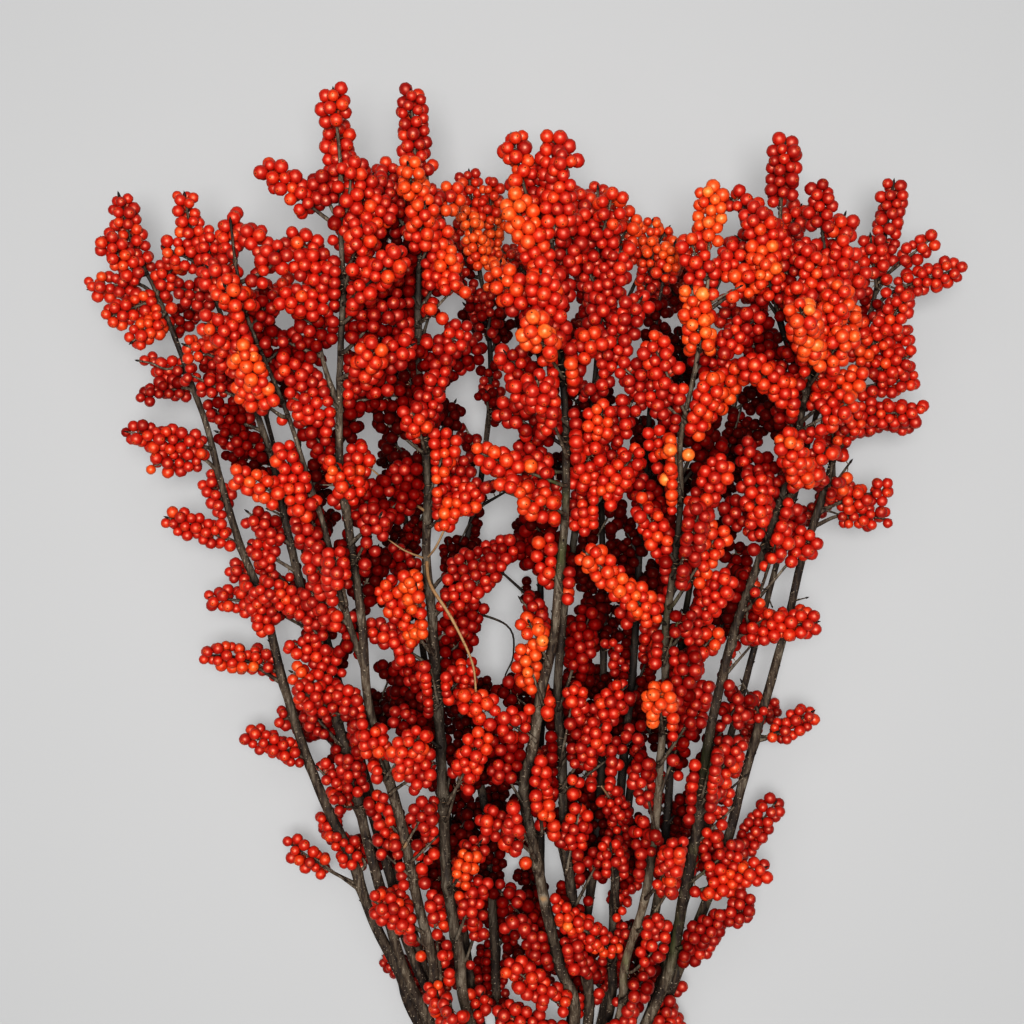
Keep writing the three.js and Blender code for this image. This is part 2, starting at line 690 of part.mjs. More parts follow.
function branchSolid(owner) {
  let made = limbSolid(limbs[owner][0], STEM_SIDES);
  for (const arm of limbs[owner].slice(1)) made = made.add(limbSolid(arm, ARM_SIDES));
  for (const spur of spurs[owner]) made = made.add(spurSolid(spur));
  return made;
}

// Whatever would reach below the surface is flat where it rests.
function rested(shape) {
  const lowest = shape.boundingBox().min[2];
  if (lowest >= 0) return shape;
  const wide = 4 * PLAN_TOP;
  const below = new THREE.BoxGeometry(wide, wide, PLAN_HEIGHT).translate(0, 0, -PLAN_HEIGHT / 2);
  return shape.subtract(solid(below));
}

// The tie: a band drawn round the outer twelve stems.
function tieOutline(reach) {
  const corners = [];
  for (let corner = 0; corner < 6; corner++) {
    const heading = (corner * Math.PI) / 3;
    for (const turn of [-Math.PI / 6, 0, Math.PI / 6])
      corners.push(
        new THREE.Vector2(
          2 * STEM_PITCH * Math.cos(heading) + reach * Math.cos(heading + turn),
          2 * STEM_PITCH * Math.sin(heading) + reach * Math.sin(heading + turn),
        ),
      );
  }
  return corners;
}

function tieSolid() {
  const ring = new THREE.Shape(tieOutline(TIE_REACH));
  ring.holes.push(new THREE.Path(tieOutline(STEM_RADIUS + TIE_GAP)));
  const band = new THREE.ExtrudeGeometry(ring, { depth: TIE_WIDTH, bevelEnabled: false });
  band.rotateX(Math.PI / 2);
  band.translate(TIE_X, TIE_Y + TIE_WIDTH / 2, TIE_Z);
  return solid(band);
}

const bunch = new THREE.Group();
BRANCHES.forEach((branch, owner) => {
  const name = "branch_" + String(owner + 1).padStart(2, "0");
  bunch.add(meshOf(name, rested(branchSolid(owner)), bark));
});
bunch.add(meshOf("twine_tie", tieSolid(), twine));

export default bunch;
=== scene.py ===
"""A cut bunch of winterberry, lying with its tips towards +Y, dressed for a view from above.

Lengths are millimetres until a mesh is written, and metres in Blender.
"""
import math
from functools import partial

import bpy
import numpy as np
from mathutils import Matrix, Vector


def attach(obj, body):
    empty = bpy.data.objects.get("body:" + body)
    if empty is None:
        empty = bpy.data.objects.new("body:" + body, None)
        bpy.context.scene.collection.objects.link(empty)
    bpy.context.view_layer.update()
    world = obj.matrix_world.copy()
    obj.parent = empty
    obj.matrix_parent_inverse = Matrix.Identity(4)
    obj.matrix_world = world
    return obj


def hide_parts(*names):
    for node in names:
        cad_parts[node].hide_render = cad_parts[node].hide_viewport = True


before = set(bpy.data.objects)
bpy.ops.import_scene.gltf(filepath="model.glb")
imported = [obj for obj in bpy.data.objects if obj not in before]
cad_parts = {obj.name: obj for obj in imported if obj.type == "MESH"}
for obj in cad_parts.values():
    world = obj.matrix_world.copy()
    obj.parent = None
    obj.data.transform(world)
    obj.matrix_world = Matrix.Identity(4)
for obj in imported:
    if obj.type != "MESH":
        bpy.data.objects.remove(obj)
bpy.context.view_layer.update()  # the solids, which the pieces below stand for

MM = 0.001
SEED = 20
random = np.random.default_rng(SEED)

# ---- the bunch, as in the solids ----------------------------------------------------
CUT_Y = -443  # the stems' cut ends
TIE_X = 15
TIE_Y = -372
TIE_WIDTH = 16
TIE_WALL = 1.6
TIE_GAP = 0.35
STEM_PITCH = 10.7  # from stem to stem in the tie
STEM_RADIUS = 5.8
STOUT_TAPER = 2.2  # a stout stem keeps its girth for longer than a slender one
SLENDER_TAPER = 0.8
TIP_RADIUS = 1.2
ARM_RADIUS = 3.4
CUT_FLARE = 1.12  # how far the cut ends spread again below the tie
ROW_HEIGHT = STEM_PITCH * math.sqrt(3) / 2
TIE_REACH = STEM_RADIUS + TIE_GAP + TIE_WALL
TIE_Z = 2 * ROW_HEIGHT + TIE_REACH

# The plan is true to size at PLAN_HEIGHT, and draws in towards the eye's own axis above that.
EYE = (-10, 158, 1235)
PLAN_HEIGHT = 135
PLAN_TOP = 455

SPUR_RISE = 0.6  # a spur leaves its limb below its first berry by this slope
BASE_LIFT = 0.4  # and its first berry has this share of the tip's lift
THIN_START = 0.15  # the share of a spur that is bare
TWIG_ROOM = 2.5  # radius of a spur's bare start
CLUSTER_ROOM = 10.6  # and of its cluster
CLEARANCE = 0.5
OWN_SPACING = 21  # between the clusters of one branch
LIFT_STEPS = (0, 7, -7, 14, -14, 21, -21, 28, -28, 36, -36, 44, -44)
LOWEST_TIP = 2.4
SPOTS_A_RING = 8

# Spurs on the far side of a branch, each turned on from the last by the golden angle.
GOLDEN_TURN = math.pi * (3 - math.sqrt(5))
GOLDEN_SHARE = (math.sqrt(5) - 1) / 2
FIRST_BACK_SPUR = 0.3
BACK_SPUR_STEP = 0.09
BACK_SPUR_DROOP = 0.8
BACK_SPUR_LEAN = 0.85
BACK_SPUR_LENGTHS = (40, 64)
# Back spurs get a darker hue: partly painted shade, as they hang under their branch.
BACK_HUE = -0.3

# The clusters that the solids leave out stand closer.
MORE_ROOM = 6.0
MORE_SPACING = 12.0
MORE_SQUEEZE = 3.5
MORE_BACK_START = 0.345

# Each branch: its place in the tie (pitches across, rows up), its rise over the plan's middle
# height at the top, whether it is stout, how many spurs it has at its back, the size of its
# berries, and its girth and paleness of bark. Then its limbs in the plan, the stem first. Its
# spurs are rows of limb, x and y of the first berry, x and y of the tip, lift of the tip, and hue
# from -1 dark to 1 orange: `spurs` are in the solids too, and `more` are not. `shows` is where
# a limb is seen between the berries, as limb and two heights in the plan. `bare` twigs have a
# radius, a paleness and places in the plan, each with a lift above the limb.
# Low hues, most of all on the branches that lie deepest, are partly own tone and partly painted shade.
PLAIN_BRANCH = dict(stout=True, back=0, size=1, girth=1, pale=0, more=(), shows=(), bare=())
BRANCHES = [
    dict(
        PLAIN_BRANCH, slot=(-2, 0), rise=5,
        limbs=[
            [
                (-75, -200), (-88, -166), (-108, -126), (-123, -83), (-141, -45), (-159, 2),
                (-172, 46), (-184, 94), (-200, 134), (-213, 176), (-223, 216), (-234, 247),
                (-246, 280), (-261, 316), (-276, 346), (-285, 379),
            ],
        ],
        spurs=[
            (0, -270, 331, -284, 382, 6, 0), (0, -274, 318, -305, 314, 0, 0.1),
            (0, -254, 296, -276, 277, 22, 0.3), (0, -239, 245, -267, 238, 6, -0.3),
            (0, -230, 196, -263, 190, 14, 0.1), (0, -209, 156, -223, 183, -5, 0),
            (0, -211, 140, -251, 154, 6, 0.1), (0, -185, 95, -220, 98, 8, 0.1),
            (0, -178, 48, -194, 58, -4, -0.1), (0, -158, -13, -195, 2, 6, 0.1),
            (0, -141, -91, -164, -75, 6, 0), (0, -258, 312, -245, 333, 12, 0.1),
            (0, -246, 286, -228, 307, -6, -0.2),
        ],
        more=[
            (0, -272, 326, -296, 349, 10, 0.1), (0, -262, 305, -293, 294, 14, 0.1),
            (0, -242, 256, -262, 263, -5, 0), (0, -228, 204, -279, 214, 8, 0.1),
            (0, -181, 79, -190, 107, 15, 0.1), (0, -193, 111, -205, 119, 4, 0),
            (0, -199, 55, -223, 58, 6, 0.1), (0, -164, 15, -173, 11, 3, 0),
            (0, -122, -87, -136, -66, 14, 0.1), (0, -113, -87, -127, -73, 20, 0),
            (0, -132, -66, -141, -52, -3, -0.1),
        ],
        shows=[(0, 270, 333), (0, 106, 241), (0, -66, 74), (0, -117, -90), (0, -225, -140)],
        bare=[
            (1.1, 0.1, [(-114, -108, 0), (-128, -99, 6), (-140, -90, 8), (-150, -83, 8)]),
            (0.9, 0.1, [(-173, 45, 0), (-186, 50, 5), (-199, 55, 6)]),
            (1.0, 0.3, [(-240, 263, 0), (-252, 258, 6), (-262, 262, 8), (-272, 264, 6)]),
        ],
    ),
    dict(
        PLAIN_BRANCH, slot=(-1.5, 1), rise=40, size=0.98,
        limbs=[
            [
                (-67, -200), (-87, -158), (-100, -113), (-111, -73), (-123, -21), (-136, 23),
                (-150, 72), (-160, 114), (-168, 149), (-177, 191), (-187, 223), (-199, 256),
                (-211, 289), (-223, 321), (-234, 352), (-239, 379),
            ],
        ],
        spurs=[
            (0, -229, 342, -239, 379, 4, 0.1), (0, -206, 261, -239, 275, 22, 0.3),
            (0, -193, 218, -224, 231, 4, -0.4), (0, -181, 192, -209, 200, -10, -0.5),
            (0, -165, 135, -195, 158, 10, 0), (0, -150, 90, -188, 107, 20, 0.15),
            (0, -134, 52, -164, 67, 15, 0.15), (0, -129, -6, -155, 23, 8, -0.1),
            (0, -122, -46, -146, -21, 16, 0.1),
        ],
        more=[
            (0, -232, 333, -253, 343, 8, 0.1), (0, -220, 308, -244, 315, 4, -0.1),
            (0, -220, 317, -223, 351, 12, 0.1), (0, -200, 256, -220, 287, 26, 0.35),
            (0, -202, 238, -237, 255, 10, 0), (0, -183, 202, -216, 214, -8, -0.5),
            (0, -164, 118, -193, 135, 5, 0), (0, -160, 102, -185, 123, 5, 0),
            (0, -146, 76, -165, 99, 10, 0.1), (0, -143, 67, -158, 88, 5, 0),
            (0, -127, 26, -164, 46, 26, 0.25), (0, -130, 15, -160, 34, 15, 0.1),
            (0, -127, -13, -148, 7, -6, -0.4), (0, -116, -47, -130, -22, 12, 0.1),
            (0, -115, -49, -132, -48, 0, -0.2), (0, -120, -45, -125, -17, 14, -0.1),
            (0, -121, -36, -123, -8, 20, 0), (0, -203, 255, -224, 259, -16, -0.3),
        ],
        shows=[(0, 195, 227), (0, 106, 167), (0, -15, 18), (0, -97, -38), (0, -225, -141)],
        bare=[
            (0.8, 0.3, [(-168, 152, 0), (-174, 157, 8), (-181, 160, 12)]),
        ],
    ),
    dict(
        PLAIN_BRANCH, slot=(-1, 2), rise=80, size=1.08, girth=0.95, pale=0.15,
        limbs=[
            [
                (-57, -200), (-66, -154), (-77, -110), (-87, -62), (-99, -19), (-111, 27),
                (-114, 69), (-118, 104), (-123, 139), (-130, 184), (-131, 230), (-130, 272),
                (-128, 314), (-130, 356), (-130, 398), (-135, 452),
            ],
            [
                (-112, 46), (-122, 74), (-133, 110), (-141, 146), (-155, 189), (-167, 226),
                (-182, 262), (-196, 296), (-203, 329), (-207, 361),
            ],
            [(-130, 231), (-140, 256), (-146, 282)],
        ],
        spurs=[
            (0, -134, 433, -136, 453, 0, 0), (0, -125, 372, -122, 401, 8, 0.1),
            (0, -151, 372, -181, 398, 6, 0.1), (0, -146, 337, -165, 351, 6, 0.1),
            (2, -141, 268, -178, 281, 0, -0.2), (0, -136, 197, -155, 219, 4, -0.1),
            (0, -127, 326, -99, 373, 12, 0.1), (0, -127, 291, -90, 329, 10, 0.1),
            (0, -127, 253, -80, 275, 22, 0.25), (0, -128, 209, -113, 235, -12, -0.5),
            (0, -122, 171, -132, 190, 28, 0.45), (0, -122, 153, -81, 188, 15, 0.1),
            (0, -120, 123, -102, 156, 14, 0.1), (1, -200, 305, -223, 329, 10, 0.1),
            (1, -197, 299, -169, 317, 5, 0.1), (1, -190, 274, -223, 289, 6, 0.1),
            (1, -171, 225, -200, 246, 16, 0.3), (1, -155, 163, -202, 182, 30, 0.3),
            (1, -146, 144, -158, 167, -4, -0.2), (1, -130, 92, -150, 128, 26, 0.2),
            (1, -122, 62, -134, 83, -8, -0.3), (1, -204, 333, -207, 361, 0, 0.1),
            (0, -108, 1, -127, 30, 15, 0.1), (0, -94, -38, -64, -18, 26, 0.15),
            (0, -98, -38, -125, -20, 14, 0.1), (0, -81, -97, -111, -71, 12, 0.1),
            (0, -85, -76, -69, -49, 8, 0.1), (0, -60, -167, -66, -117, 26, 0.1),
            (0, -53, -185, -56, -164, 20, 0.1), (0, -60, -118, -71, -94, -10, -0.4),
        ],
        more=[
            (0, -130, 391, -132, 427, 0, 0), (0, -134, 319, -158, 333, 10, 0.1),
            (0, -134, 302, -169, 307, 8, 0.15), (0, -134, 281, -158, 294, 5, 0),
            (0, -136, 235, -170, 263, 12, 0.2), (0, -137, 221, -165, 239, 16, 0.3),
            (0, -126, 349, -108, 393, 4, 0.1), (0, -127, 315, -116, 357, 16, 0.15),
            (0, -123, 307, -88, 338, 18, 0.2), (0, -127, 270, -92, 307, 12, 0.1),
            (0, -113, 258, -108, 270, 24, 0.45), (0, -125, 245, -94, 249, 18, 0.35),
            (0, -126, 234, -88, 240, 0, -0.1), (0, -127, 165, -115, 202, 26, 0.35),
            (0, -122, 137, -78, 174, 10, 0), (0, -123, 134, -98, 163, 15, 0.1),
            (0, -116, 95, -104, 133, -12, -0.5), (1, -198, 298, -211, 316, 16, 0.3),
            (1, -185, 328, -192, 351, 0, 0.1), (1, -181, 328, -174, 340, 0, 0),
            (1, -195, 288, -179, 307, -5, -0.1), (1, -188, 272, -179, 294, -6, -0.2),
            (1, -183, 262, -160, 282, 0, 0), (1, -178, 239, -200, 270, 26, 0.5),
            (1, -158, 172, -169, 202, 20, 0.25), (1, -143, 132, -165, 147, 0, 0),
            (1, -126, 95, -134, 125, 30, 0.25), (1, -127, 81, -151, 102, 20, 0.1),
            (0, -106, -10, -123, 16, 12, 0.1), (0, -99, -24, -110, 7, 26, 0.4),
            (0, -98, -27, -74, 2, 30, 0.25), (0, -85, -75, -106, -46, 20, 0.2),
            (0, -81, -87, -63, -70, 16, 0.3), (0, -76, -134, -109, -113, 26, 0.15),
            (0, -74, -143, -97, -108, 22, 0.2), (0, -57, -171, -54, -138, 22, 0.1),
            (0, -53, -211, -63, -176, 30, 0.2), (0, -50, -211, -53, -185, 25, 0.1),
            (0, -135, 368, -146, 393, 0, -0.2), (1, -150, 176, -139, 193, -10, -0.4),
        ],
        shows=[
            (0, 192, 352), (0, 7, 168), (0, -173, -13), (1, 189, 295), (1, 132, 162), (1, 48, 107),
            (2, 235, 268),
        ],
        bare=[
            (0.9, 0.2, [(-131, 230, 0), (-140, 229, 8), (-149, 228, 10)]),
            (0.9, 0.5, [(-129, 166, 0), (-132, 176, 9), (-143, 177, 12)]),
            (0.8, 0.1, [(-130, 254, 0), (-122, 258, 8), (-113, 259, 12)]),
            (0.8, 0.3, [(-81, -91, 0), (-74, -88, 9), (-66, -85, 14)]),
        ],
    ),
    dict(
        PLAIN_BRANCH, slot=(-1, 0), rise=-25, stout=False, back=4, size=0.93, pale=-0.3,
        limbs=[
            [
                (-57, -200), (-83, -145), (-97, -92), (-112, -43), (-127, -5), (-136, 34),
                (-144, 76), (-154, 125), (-160, 174), (-158, 223), (-153, 265), (-148, 307),
                (-150, 342),
            ],
        ],
        spurs=[
            (0, -88, -117, -104, -103, 0, -0.3), (0, -127, -13, -136, 2, -5, -0.5),
            (0, -150, 307, -149, 342, 0, -0.2),
        ],
        more=[(0, -154, 134, -136, 157, 10, -0.5), (0, -85, -146, -92, -127, 10, -0.4)],
    ),
    dict(
        PLAIN_BRANCH, slot=(-0.5, 1), rise=45, size=1.05, pale=0.25,
        limbs=[
            [
                (-39, -200), (-47, -152), (-55, -103), (-58, -54), (-60, -5), (-63, 41), (-66, 83),
                (-70, 125), (-69, 167), (-71, 212), (-75, 258), (-76, 300), (-75, 335), (-76, 373),
                (-78, 412), (-81, 451),
            ],
        ],
        spurs=[
            (0, -77, 406, -81, 451, 0, 0), (0, -79, 382, -83, 402, 46, 0.45),
            (0, -85, 358, -108, 391, 10, 0.1), (0, -71, 357, -49, 384, 4, 0.1),
            (0, -71, 305, -53, 338, 20, 0.2), (0, -74, 277, -66, 302, 0, -0.1),
            (0, -71, 239, -35, 274, -6, -0.3), (0, -73, 222, -60, 253, 30, 0.15),
            (0, -72, 186, -95, 209, -18, -0.6), (0, -69, 179, -36, 213, 0, -0.1),
            (0, -64, 150, -25, 179, 26, 0.4), (0, -71, 106, -95, 130, 10, 0.1),
            (0, -71, 53, -109, 78, 20, 0.3), (0, -67, 22, -99, 50, -16, -0.6),
            (0, -57, 92, -18, 121, 18, 0.15), (0, -62, 22, -39, 49, 20, 0.2),
            (0, -62, -6, -91, 18, 16, 0.15), (0, -55, -56, -44, -17, 22, 0.5),
            (0, -53, -101, -32, -73, 16, 0.2), (0, -43, -157, -32, -125, 5, -0.1),
            (0, -39, -199, -31, -180, 12, 0.1),
        ],
        more=[
            (0, -87, 372, -98, 399, 4, 0.1), (0, -69, 366, -69, 396, 2, 0),
            (0, -74, 332, -59, 363, 10, 0.1), (0, -74, 349, -71, 374, 14, 0.2),
            (0, -70, 294, -49, 316, 24, 0.3), (0, -71, 314, -59, 351, 18, 0.2),
            (0, -78, 305, -98, 338, 16, 0.2), (0, -78, 288, -106, 314, 10, 0.1),
            (0, -76, 274, -98, 295, 12, 0.1), (0, -78, 307, -83, 344, 6, 0),
            (0, -73, 246, -45, 288, 8, -0.1), (0, -73, 243, -53, 272, 20, 0.15),
            (0, -74, 218, -83, 258, 28, 0.15), (0, -71, 202, -80, 230, 26, 0.4),
            (0, -70, 201, -67, 226, 26, 0.3), (0, -73, 200, -104, 226, -15, -0.6),
            (0, -71, 190, -50, 235, -12, -0.5), (0, -67, 172, -55, 209, 26, 0.45),
            (0, -66, 165, -43, 192, 14, 0.3), (0, -69, 62, -101, 109, 30, 0.55),
            (0, -69, 67, -78, 111, 34, 0.6), (0, -67, 32, -92, 67, 5, 0),
            (0, -64, 67, -34, 88, 0, -0.2), (0, -64, 50, -36, 76, -6, -0.4),
            (0, -62, 25, -67, 49, 22, 0.2), (0, -62, -3, -88, 34, 5, 0),
            (0, -57, -45, -50, -6, 10, 0), (0, -55, -46, -32, -1, 18, 0.3),
            (0, -52, -38, -27, -17, 4, -0.1), (0, -52, -105, -39, -82, 20, 0.45),
            (0, -48, -136, -50, -97, 20, 0.1), (0, -48, -139, -34, -101, 12, 0),
            (0, -53, 116, -7, 135, 10, 0.1), (0, -80, 340, -102, 354, -15, -0.5),
            (0, -56, -80, -42, -57, -16, -0.4), (0, -56, -105, -71, -84, -18, -0.5),
        ],
        shows=[(0, 277, 329), (0, -190, 214)],
        bare=[
            (1.1, 1, [(-69, 158, 0), (-90, 172, 12), (-106, 186, 22), (-112, 190, 24), (-115, 187, 22)]),
            (1.25, 1, [(-71, 125, 0), (-67, 107, 14), (-52, 83, 22), (-38, 53, 22), (-35, 30, 16)]),
            (0.9, 0.9, [(-71, 123, 0), (-85, 131, 12), (-97, 139, 16)]),
            (0.8, 0.8, [(-70, 125, 0), (-63, 134, 12), (-55, 151, 20)]),
            (0.8, 0.2, [(-66, 88, 0), (-58, 93, 8), (-49, 97, 10)]),
            (0.8, 0.4, [(-58, -46, 0), (-51, -38, 8), (-43, -30, 12)]),
            (0.8, 0.1, [(-56, -83, 0), (-50, -87, 8), (-43, -89, 10)]),
        ],
    ),
    dict(
        PLAIN_BRANCH, slot=(-0.5, -1), rise=-45, stout=False, back=3, size=0.92, pale=-0.2,
        limbs=[
            [
                (-18, -200), (-22, -148), (-25, -99), (-29, -50), (-38, -5), (-47, 34), (-52, 72),
                (-50, 111), (-41, 142), (-33, 174), (-28, 209), (-25, 247), (-27, 293), (-34, 335),
                (-38, 366), (-40, 395),
            ],
        ],
        spurs=[
            (0, -31, 333, -43, 366, 30, 0.35), (0, -27, 284, -18, 333, 26, 0.3),
            (0, -28, 286, -43, 303, -4, -0.4), (0, -25, 242, -27, 259, 12, 0.5),
            (0, -52, 65, -45, 97, -6, -0.4), (0, -45, 127, -36, 153, -8, -0.5),
        ],
        more=[
            (0, -36, 361, -41, 394, 0, 0), (0, -27, 366, -24, 389, 0, 0),
            (0, -28, 333, -18, 372, 26, 0.35), (0, -29, 291, -49, 328, 26, 0.3),
            (0, -48, 105, -55, 137, 6, 0), (0, -39, 326, -50, 357, -5, -0.4),
            (0, -23, 273, -14, 298, 4, -0.4), (0, -26, 221, -28, 241, 8, -0.2),
            (0, -32, 195, -43, 218, 0, -0.3), (0, -34, 162, -13, 173, 6, -0.3),
            (0, -46, 25, -27, 38, 16, -0.4), (0, -26, -101, -21, -76, 12, -0.3),
            (0, -23, -139, -25, -115, 10, -0.4), (0, -22, -185, -22, -158, 10, -0.4),
            (0, -43, -1, -36, 18, 10, -0.2), (0, -27, -83, -36, -61, 18, -0.2),
        ],
        shows=[(0, 266, 280), (0, 205, 233), (0, -176, -113)],
        bare=[
            (0.9, 0.1, [(-27, 169, 0), (-34, 161, 10), (-41, 148, 14), (-46, 138, 16)]),
            (0.8, 0.1, [(-20, -176, 0), (-24, -181, 6), (-31, -183, 8)]),
            (0.8, 0.1, [(-27, 90, 0), (-14, 79, 8), (-9, 58, 10), (-15, 41, 12), (-6, 29, 10)]),
        ],
    ),
    dict(
        PLAIN_BRANCH, slot=(0, 2), rise=85, size=1.14, pale=0.1,
        limbs=[
            [
                (34, -200), (24, -161), (14, -120), (5, -75), (-2, -36), (5, -5), (10, 30),
                (19, 69), (23, 111), (27, 153), (28, 202), (26, 247), (22, 293), (19, 331),
                (17, 373), (21, 417),
            ],
        ],
        spurs=[
            (0, 3, 372, -10, 421, 2, 0.15), (0, 18, 312, -8, 375, 25, 0.3),
            (0, 20, 305, 34, 364, 18, 0.15), (0, 22, 270, 10, 326, 46, 0.25),
            (0, 25, 253, 3, 290, 66, 0.5), (0, 26, 249, 46, 280, 46, 0.3),
            (0, 27, 221, -15, 270, 25, 0.2), (0, 27, 204, -18, 230, 10, 0.05),
            (0, 22, 178, -32, 199, 32, 0.3), (0, 24, 158, -15, 172, 26, 0.3),
            (0, 24, 102, 13, 135, 10, 0.2), (0, 12, 22, 0, 57, 20, 0.5),
            (0, 18, 67, -4, 97, 0, -0.1), (0, 3, 1, -41, 27, 22, 0.3), (0, 3, -24, -25, 1, 5, 0),
            (0, 11, -66, 4, -20, 20, 0.35), (0, 3, -80, -29, -54, 26, 0.25),
            (0, 13, -143, -18, -108, -3, -0.3), (0, 24, -186, -10, -161, 26, 0.15),
            (0, 28, -211, -18, -192, 16, 0),
        ],
        more=[
            (0, 19, 377, 21, 417, 0, 0.1), (0, 18, 351, 29, 405, 6, 0.1),
            (0, 17, 354, 6, 399, 8, 0.1), (0, 19, 312, 3, 351, 30, 0.25),
            (0, 19, 305, -17, 342, 28, 0.3), (0, 22, 274, -18, 322, 40, 0.25),
            (0, 24, 263, -1, 300, 50, 0.3), (0, 27, 207, -4, 246, 28, 0.15),
            (0, 27, 200, 7, 251, 30, 0.1), (0, 21, 186, -4, 198, 22, 0.25),
            (0, 25, 123, 3, 153, -10, -0.5), (0, 24, 113, -4, 134, -6, -0.3),
            (0, 15, 53, 2, 81, 22, 0.55), (0, -1, -48, -18, -20, 12, 0.1),
            (0, 4, -80, -8, -52, 28, 0.2), (0, 15, -146, 3, -111, -3, -0.2),
            (0, 17, -153, -8, -132, 0, -0.2), (0, -1, -36, -20, -19, 8, -0.2),
            (0, 7, 17, -15, 34, -25, -0.3), (0, 10, 25, -1, 52, -4, 0.5),
            (0, 3, -45, 10, -11, 8, 0.3), (0, -1, -38, -15, -22, -10, 0),
        ],
        shows=[(0, -169, 275)],
    ),
    dict(
        PLAIN_BRANCH, slot=(0.5, 1), rise=42, size=1.08, girth=0.9, pale=0.1,
        limbs=[
            [
                (43, -200), (38, -148), (31, -103), (26, -57), (25, -12), (22, 30), (25, 76),
                (31, 121), (37, 163), (43, 205), (48, 247), (50, 289), (50, 331), (50, 384),
            ],
        ],
        spurs=[
            (0, 52, 344, 37, 382, 3, 0.1), (0, 52, 319, 75, 366, 8, 0.1),
            (0, 50, 284, 66, 342, 16, 0.1), (0, 46, 244, 80, 307, 36, 0.25),
            (0, 41, 179, 74, 235, 40, 0.35), (0, 39, 151, 77, 200, 36, 0.4),
            (0, 38, 188, 34, 219, 20, 0.2), (0, 34, 116, 62, 162, -12, -0.5),
            (0, 24, 11, 41, 53, -8, -0.5), (0, 24, -20, 69, 35, 22, 0.15),
            (0, 26, -38, 80, 2, 16, 0.2), (0, 26, -66, 45, -17, -12, -0.6),
            (0, 29, -101, 18, -57, 22, 0.2), (0, 34, -118, 52, -83, 5, -0.1),
            (0, 45, -206, 52, -183, 46, 0.1), (0, 31, 69, 52, 97, -5, -0.5),
        ],
        more=[
            (0, 50, 351, 50, 384, 0, 0.1), (0, 52, 347, 60, 379, 3, 0.1),
            (0, 50, 312, 34, 351, 20, 0.2), (0, 49, 291, 41, 331, 20, 0.15),
            (0, 46, 246, 55, 300, 38, 0.3), (0, 40, 183, 53, 228, 42, 0.35),
            (0, 36, 155, 52, 197, 40, 0.4), (0, 32, 123, 45, 172, -6, -0.5),
            (0, 25, 25, 45, 88, -6, -0.5), (0, 24, -17, 34, 34, 20, 0.1),
            (0, 25, -6, 73, 22, 26, 0.15), (0, 26, -34, 52, 8, 12, 0.1),
            (0, 28, -94, 38, -48, 25, 0.1), (0, 45, 227, 33, 237, -10, -0.6),
            (0, 43, -174, 40, -146, -8, -0.4), (0, 44, -193, 46, -176, 8, -0.1),
            (0, 40, -167, 28, -145, 6, -0.2),
        ],
        shows=[(0, -52, 94), (0, -117, -80), (0, -225, -166)],
    ),
    dict(
        PLAIN_BRANCH, slot=(1, 2), rise=80, size=1.08, girth=0.8, pale=0.5,
        limbs=[
            [
                (64, -200), (69, -159), (83, -113), (90, -64), (94, -15), (97, 34), (98, 79),
                (104, 125), (108, 167), (108, 209), (117, 252), (122, 282), (127, 317), (128, 349),
                (129, 384),
            ],
        ],
        spurs=[
            (0, 127, 347, 129, 384, 0, 0.5), (0, 122, 274, 116, 314, 26, 0.6),
            (0, 125, 298, 146, 342, 12, 0.35), (0, 122, 260, 164, 296, 16, 0.2),
            (0, 111, 228, 87, 279, 20, 0.4), (0, 118, 221, 150, 260, 26, 0.6),
            (0, 108, 172, 90, 216, 20, 0.5), (0, 110, 186, 129, 233, 8, -0.1),
            (0, 105, 134, 76, 181, 15, 0.3), (0, 109, 141, 136, 191, 5, 0.2),
            (0, 106, 116, 122, 160, 22, 0.2), (0, 99, 60, 140, 111, 26, 0.25),
            (0, 97, 32, 136, 76, 20, 0.5), (0, 95, 4, 115, 57, 14, 0), (0, 94, -38, 111, 8, 8, 0),
            (0, 90, -66, 80, -15, -4, -0.3), (0, 87, 87, 41, 130, 60, 0.5),
            (0, 91, 69, 69, 93, 24, 0.45), (0, 88, -101, 83, -61, 20, 0.1),
            (0, 83, -132, 108, -94, 16, 0.1), (0, 74, -164, 99, -139, 18, 0.2),
            (0, 64, -211, 71, -188, 12, 0.1),
        ],
        more=[
            (0, 123, 323, 115, 349, 8, 0.1), (0, 150, 316, 168, 330, 12, 0.4),
            (0, 111, 221, 69, 258, 15, 0.3), (0, 118, 225, 133, 251, 26, 0.5),
            (0, 109, 207, 97, 239, 0, -0.1), (0, 108, 165, 104, 204, 24, 0.6),
            (0, 110, 179, 133, 209, 5, -0.1), (0, 104, 123, 80, 163, 20, 0.5),
            (0, 104, 95, 136, 146, 28, 0.55), (0, 103, 92, 115, 135, 30, 0.55),
            (0, 99, 57, 123, 97, 22, 0.1), (0, 97, 53, 108, 88, 8, 0.1),
            (0, 97, 25, 125, 64, 24, 0.5), (0, 95, -17, 129, 34, 15, 0.1),
            (0, 96, 4, 92, 32, 56, 0.55), (0, 88, -108, 108, -76, 22, 0.15),
            (0, 66, -185, 80, -172, 6, 0), (0, 71, -185, 87, -155, -5, -0.4),
            (0, 101, 91, 88, 111, -22, -0.4),
        ],
        shows=[(0, 38, 279), (0, -62, 17), (0, -190, -80)],
        bare=[
            (0.9, 0.3, [(126, 304, 0), (137, 309, 10), (150, 316, 14)]),
        ],
    ),
    dict(
        PLAIN_BRANCH, slot=(1.5, 1), rise=45, size=1.08, pale=-0.2,
        limbs=[
            [
                (84, -200), (101, -159), (111, -106), (120, -61), (126, -12), (135, 34), (148, 83),
                (162, 121), (176, 160), (187, 195), (194, 233), (203, 265), (209, 296), (210, 328),
                (207, 357), (206, 384),
            ],
            [(196, 238), (185, 270), (176, 300), (177, 333), (178, 370), (181, 416)],
        ],
        spurs=[
            (1, 179, 377, 181, 416, 0, -0.1), (1, 176, 351, 144, 377, 5, 0.1),
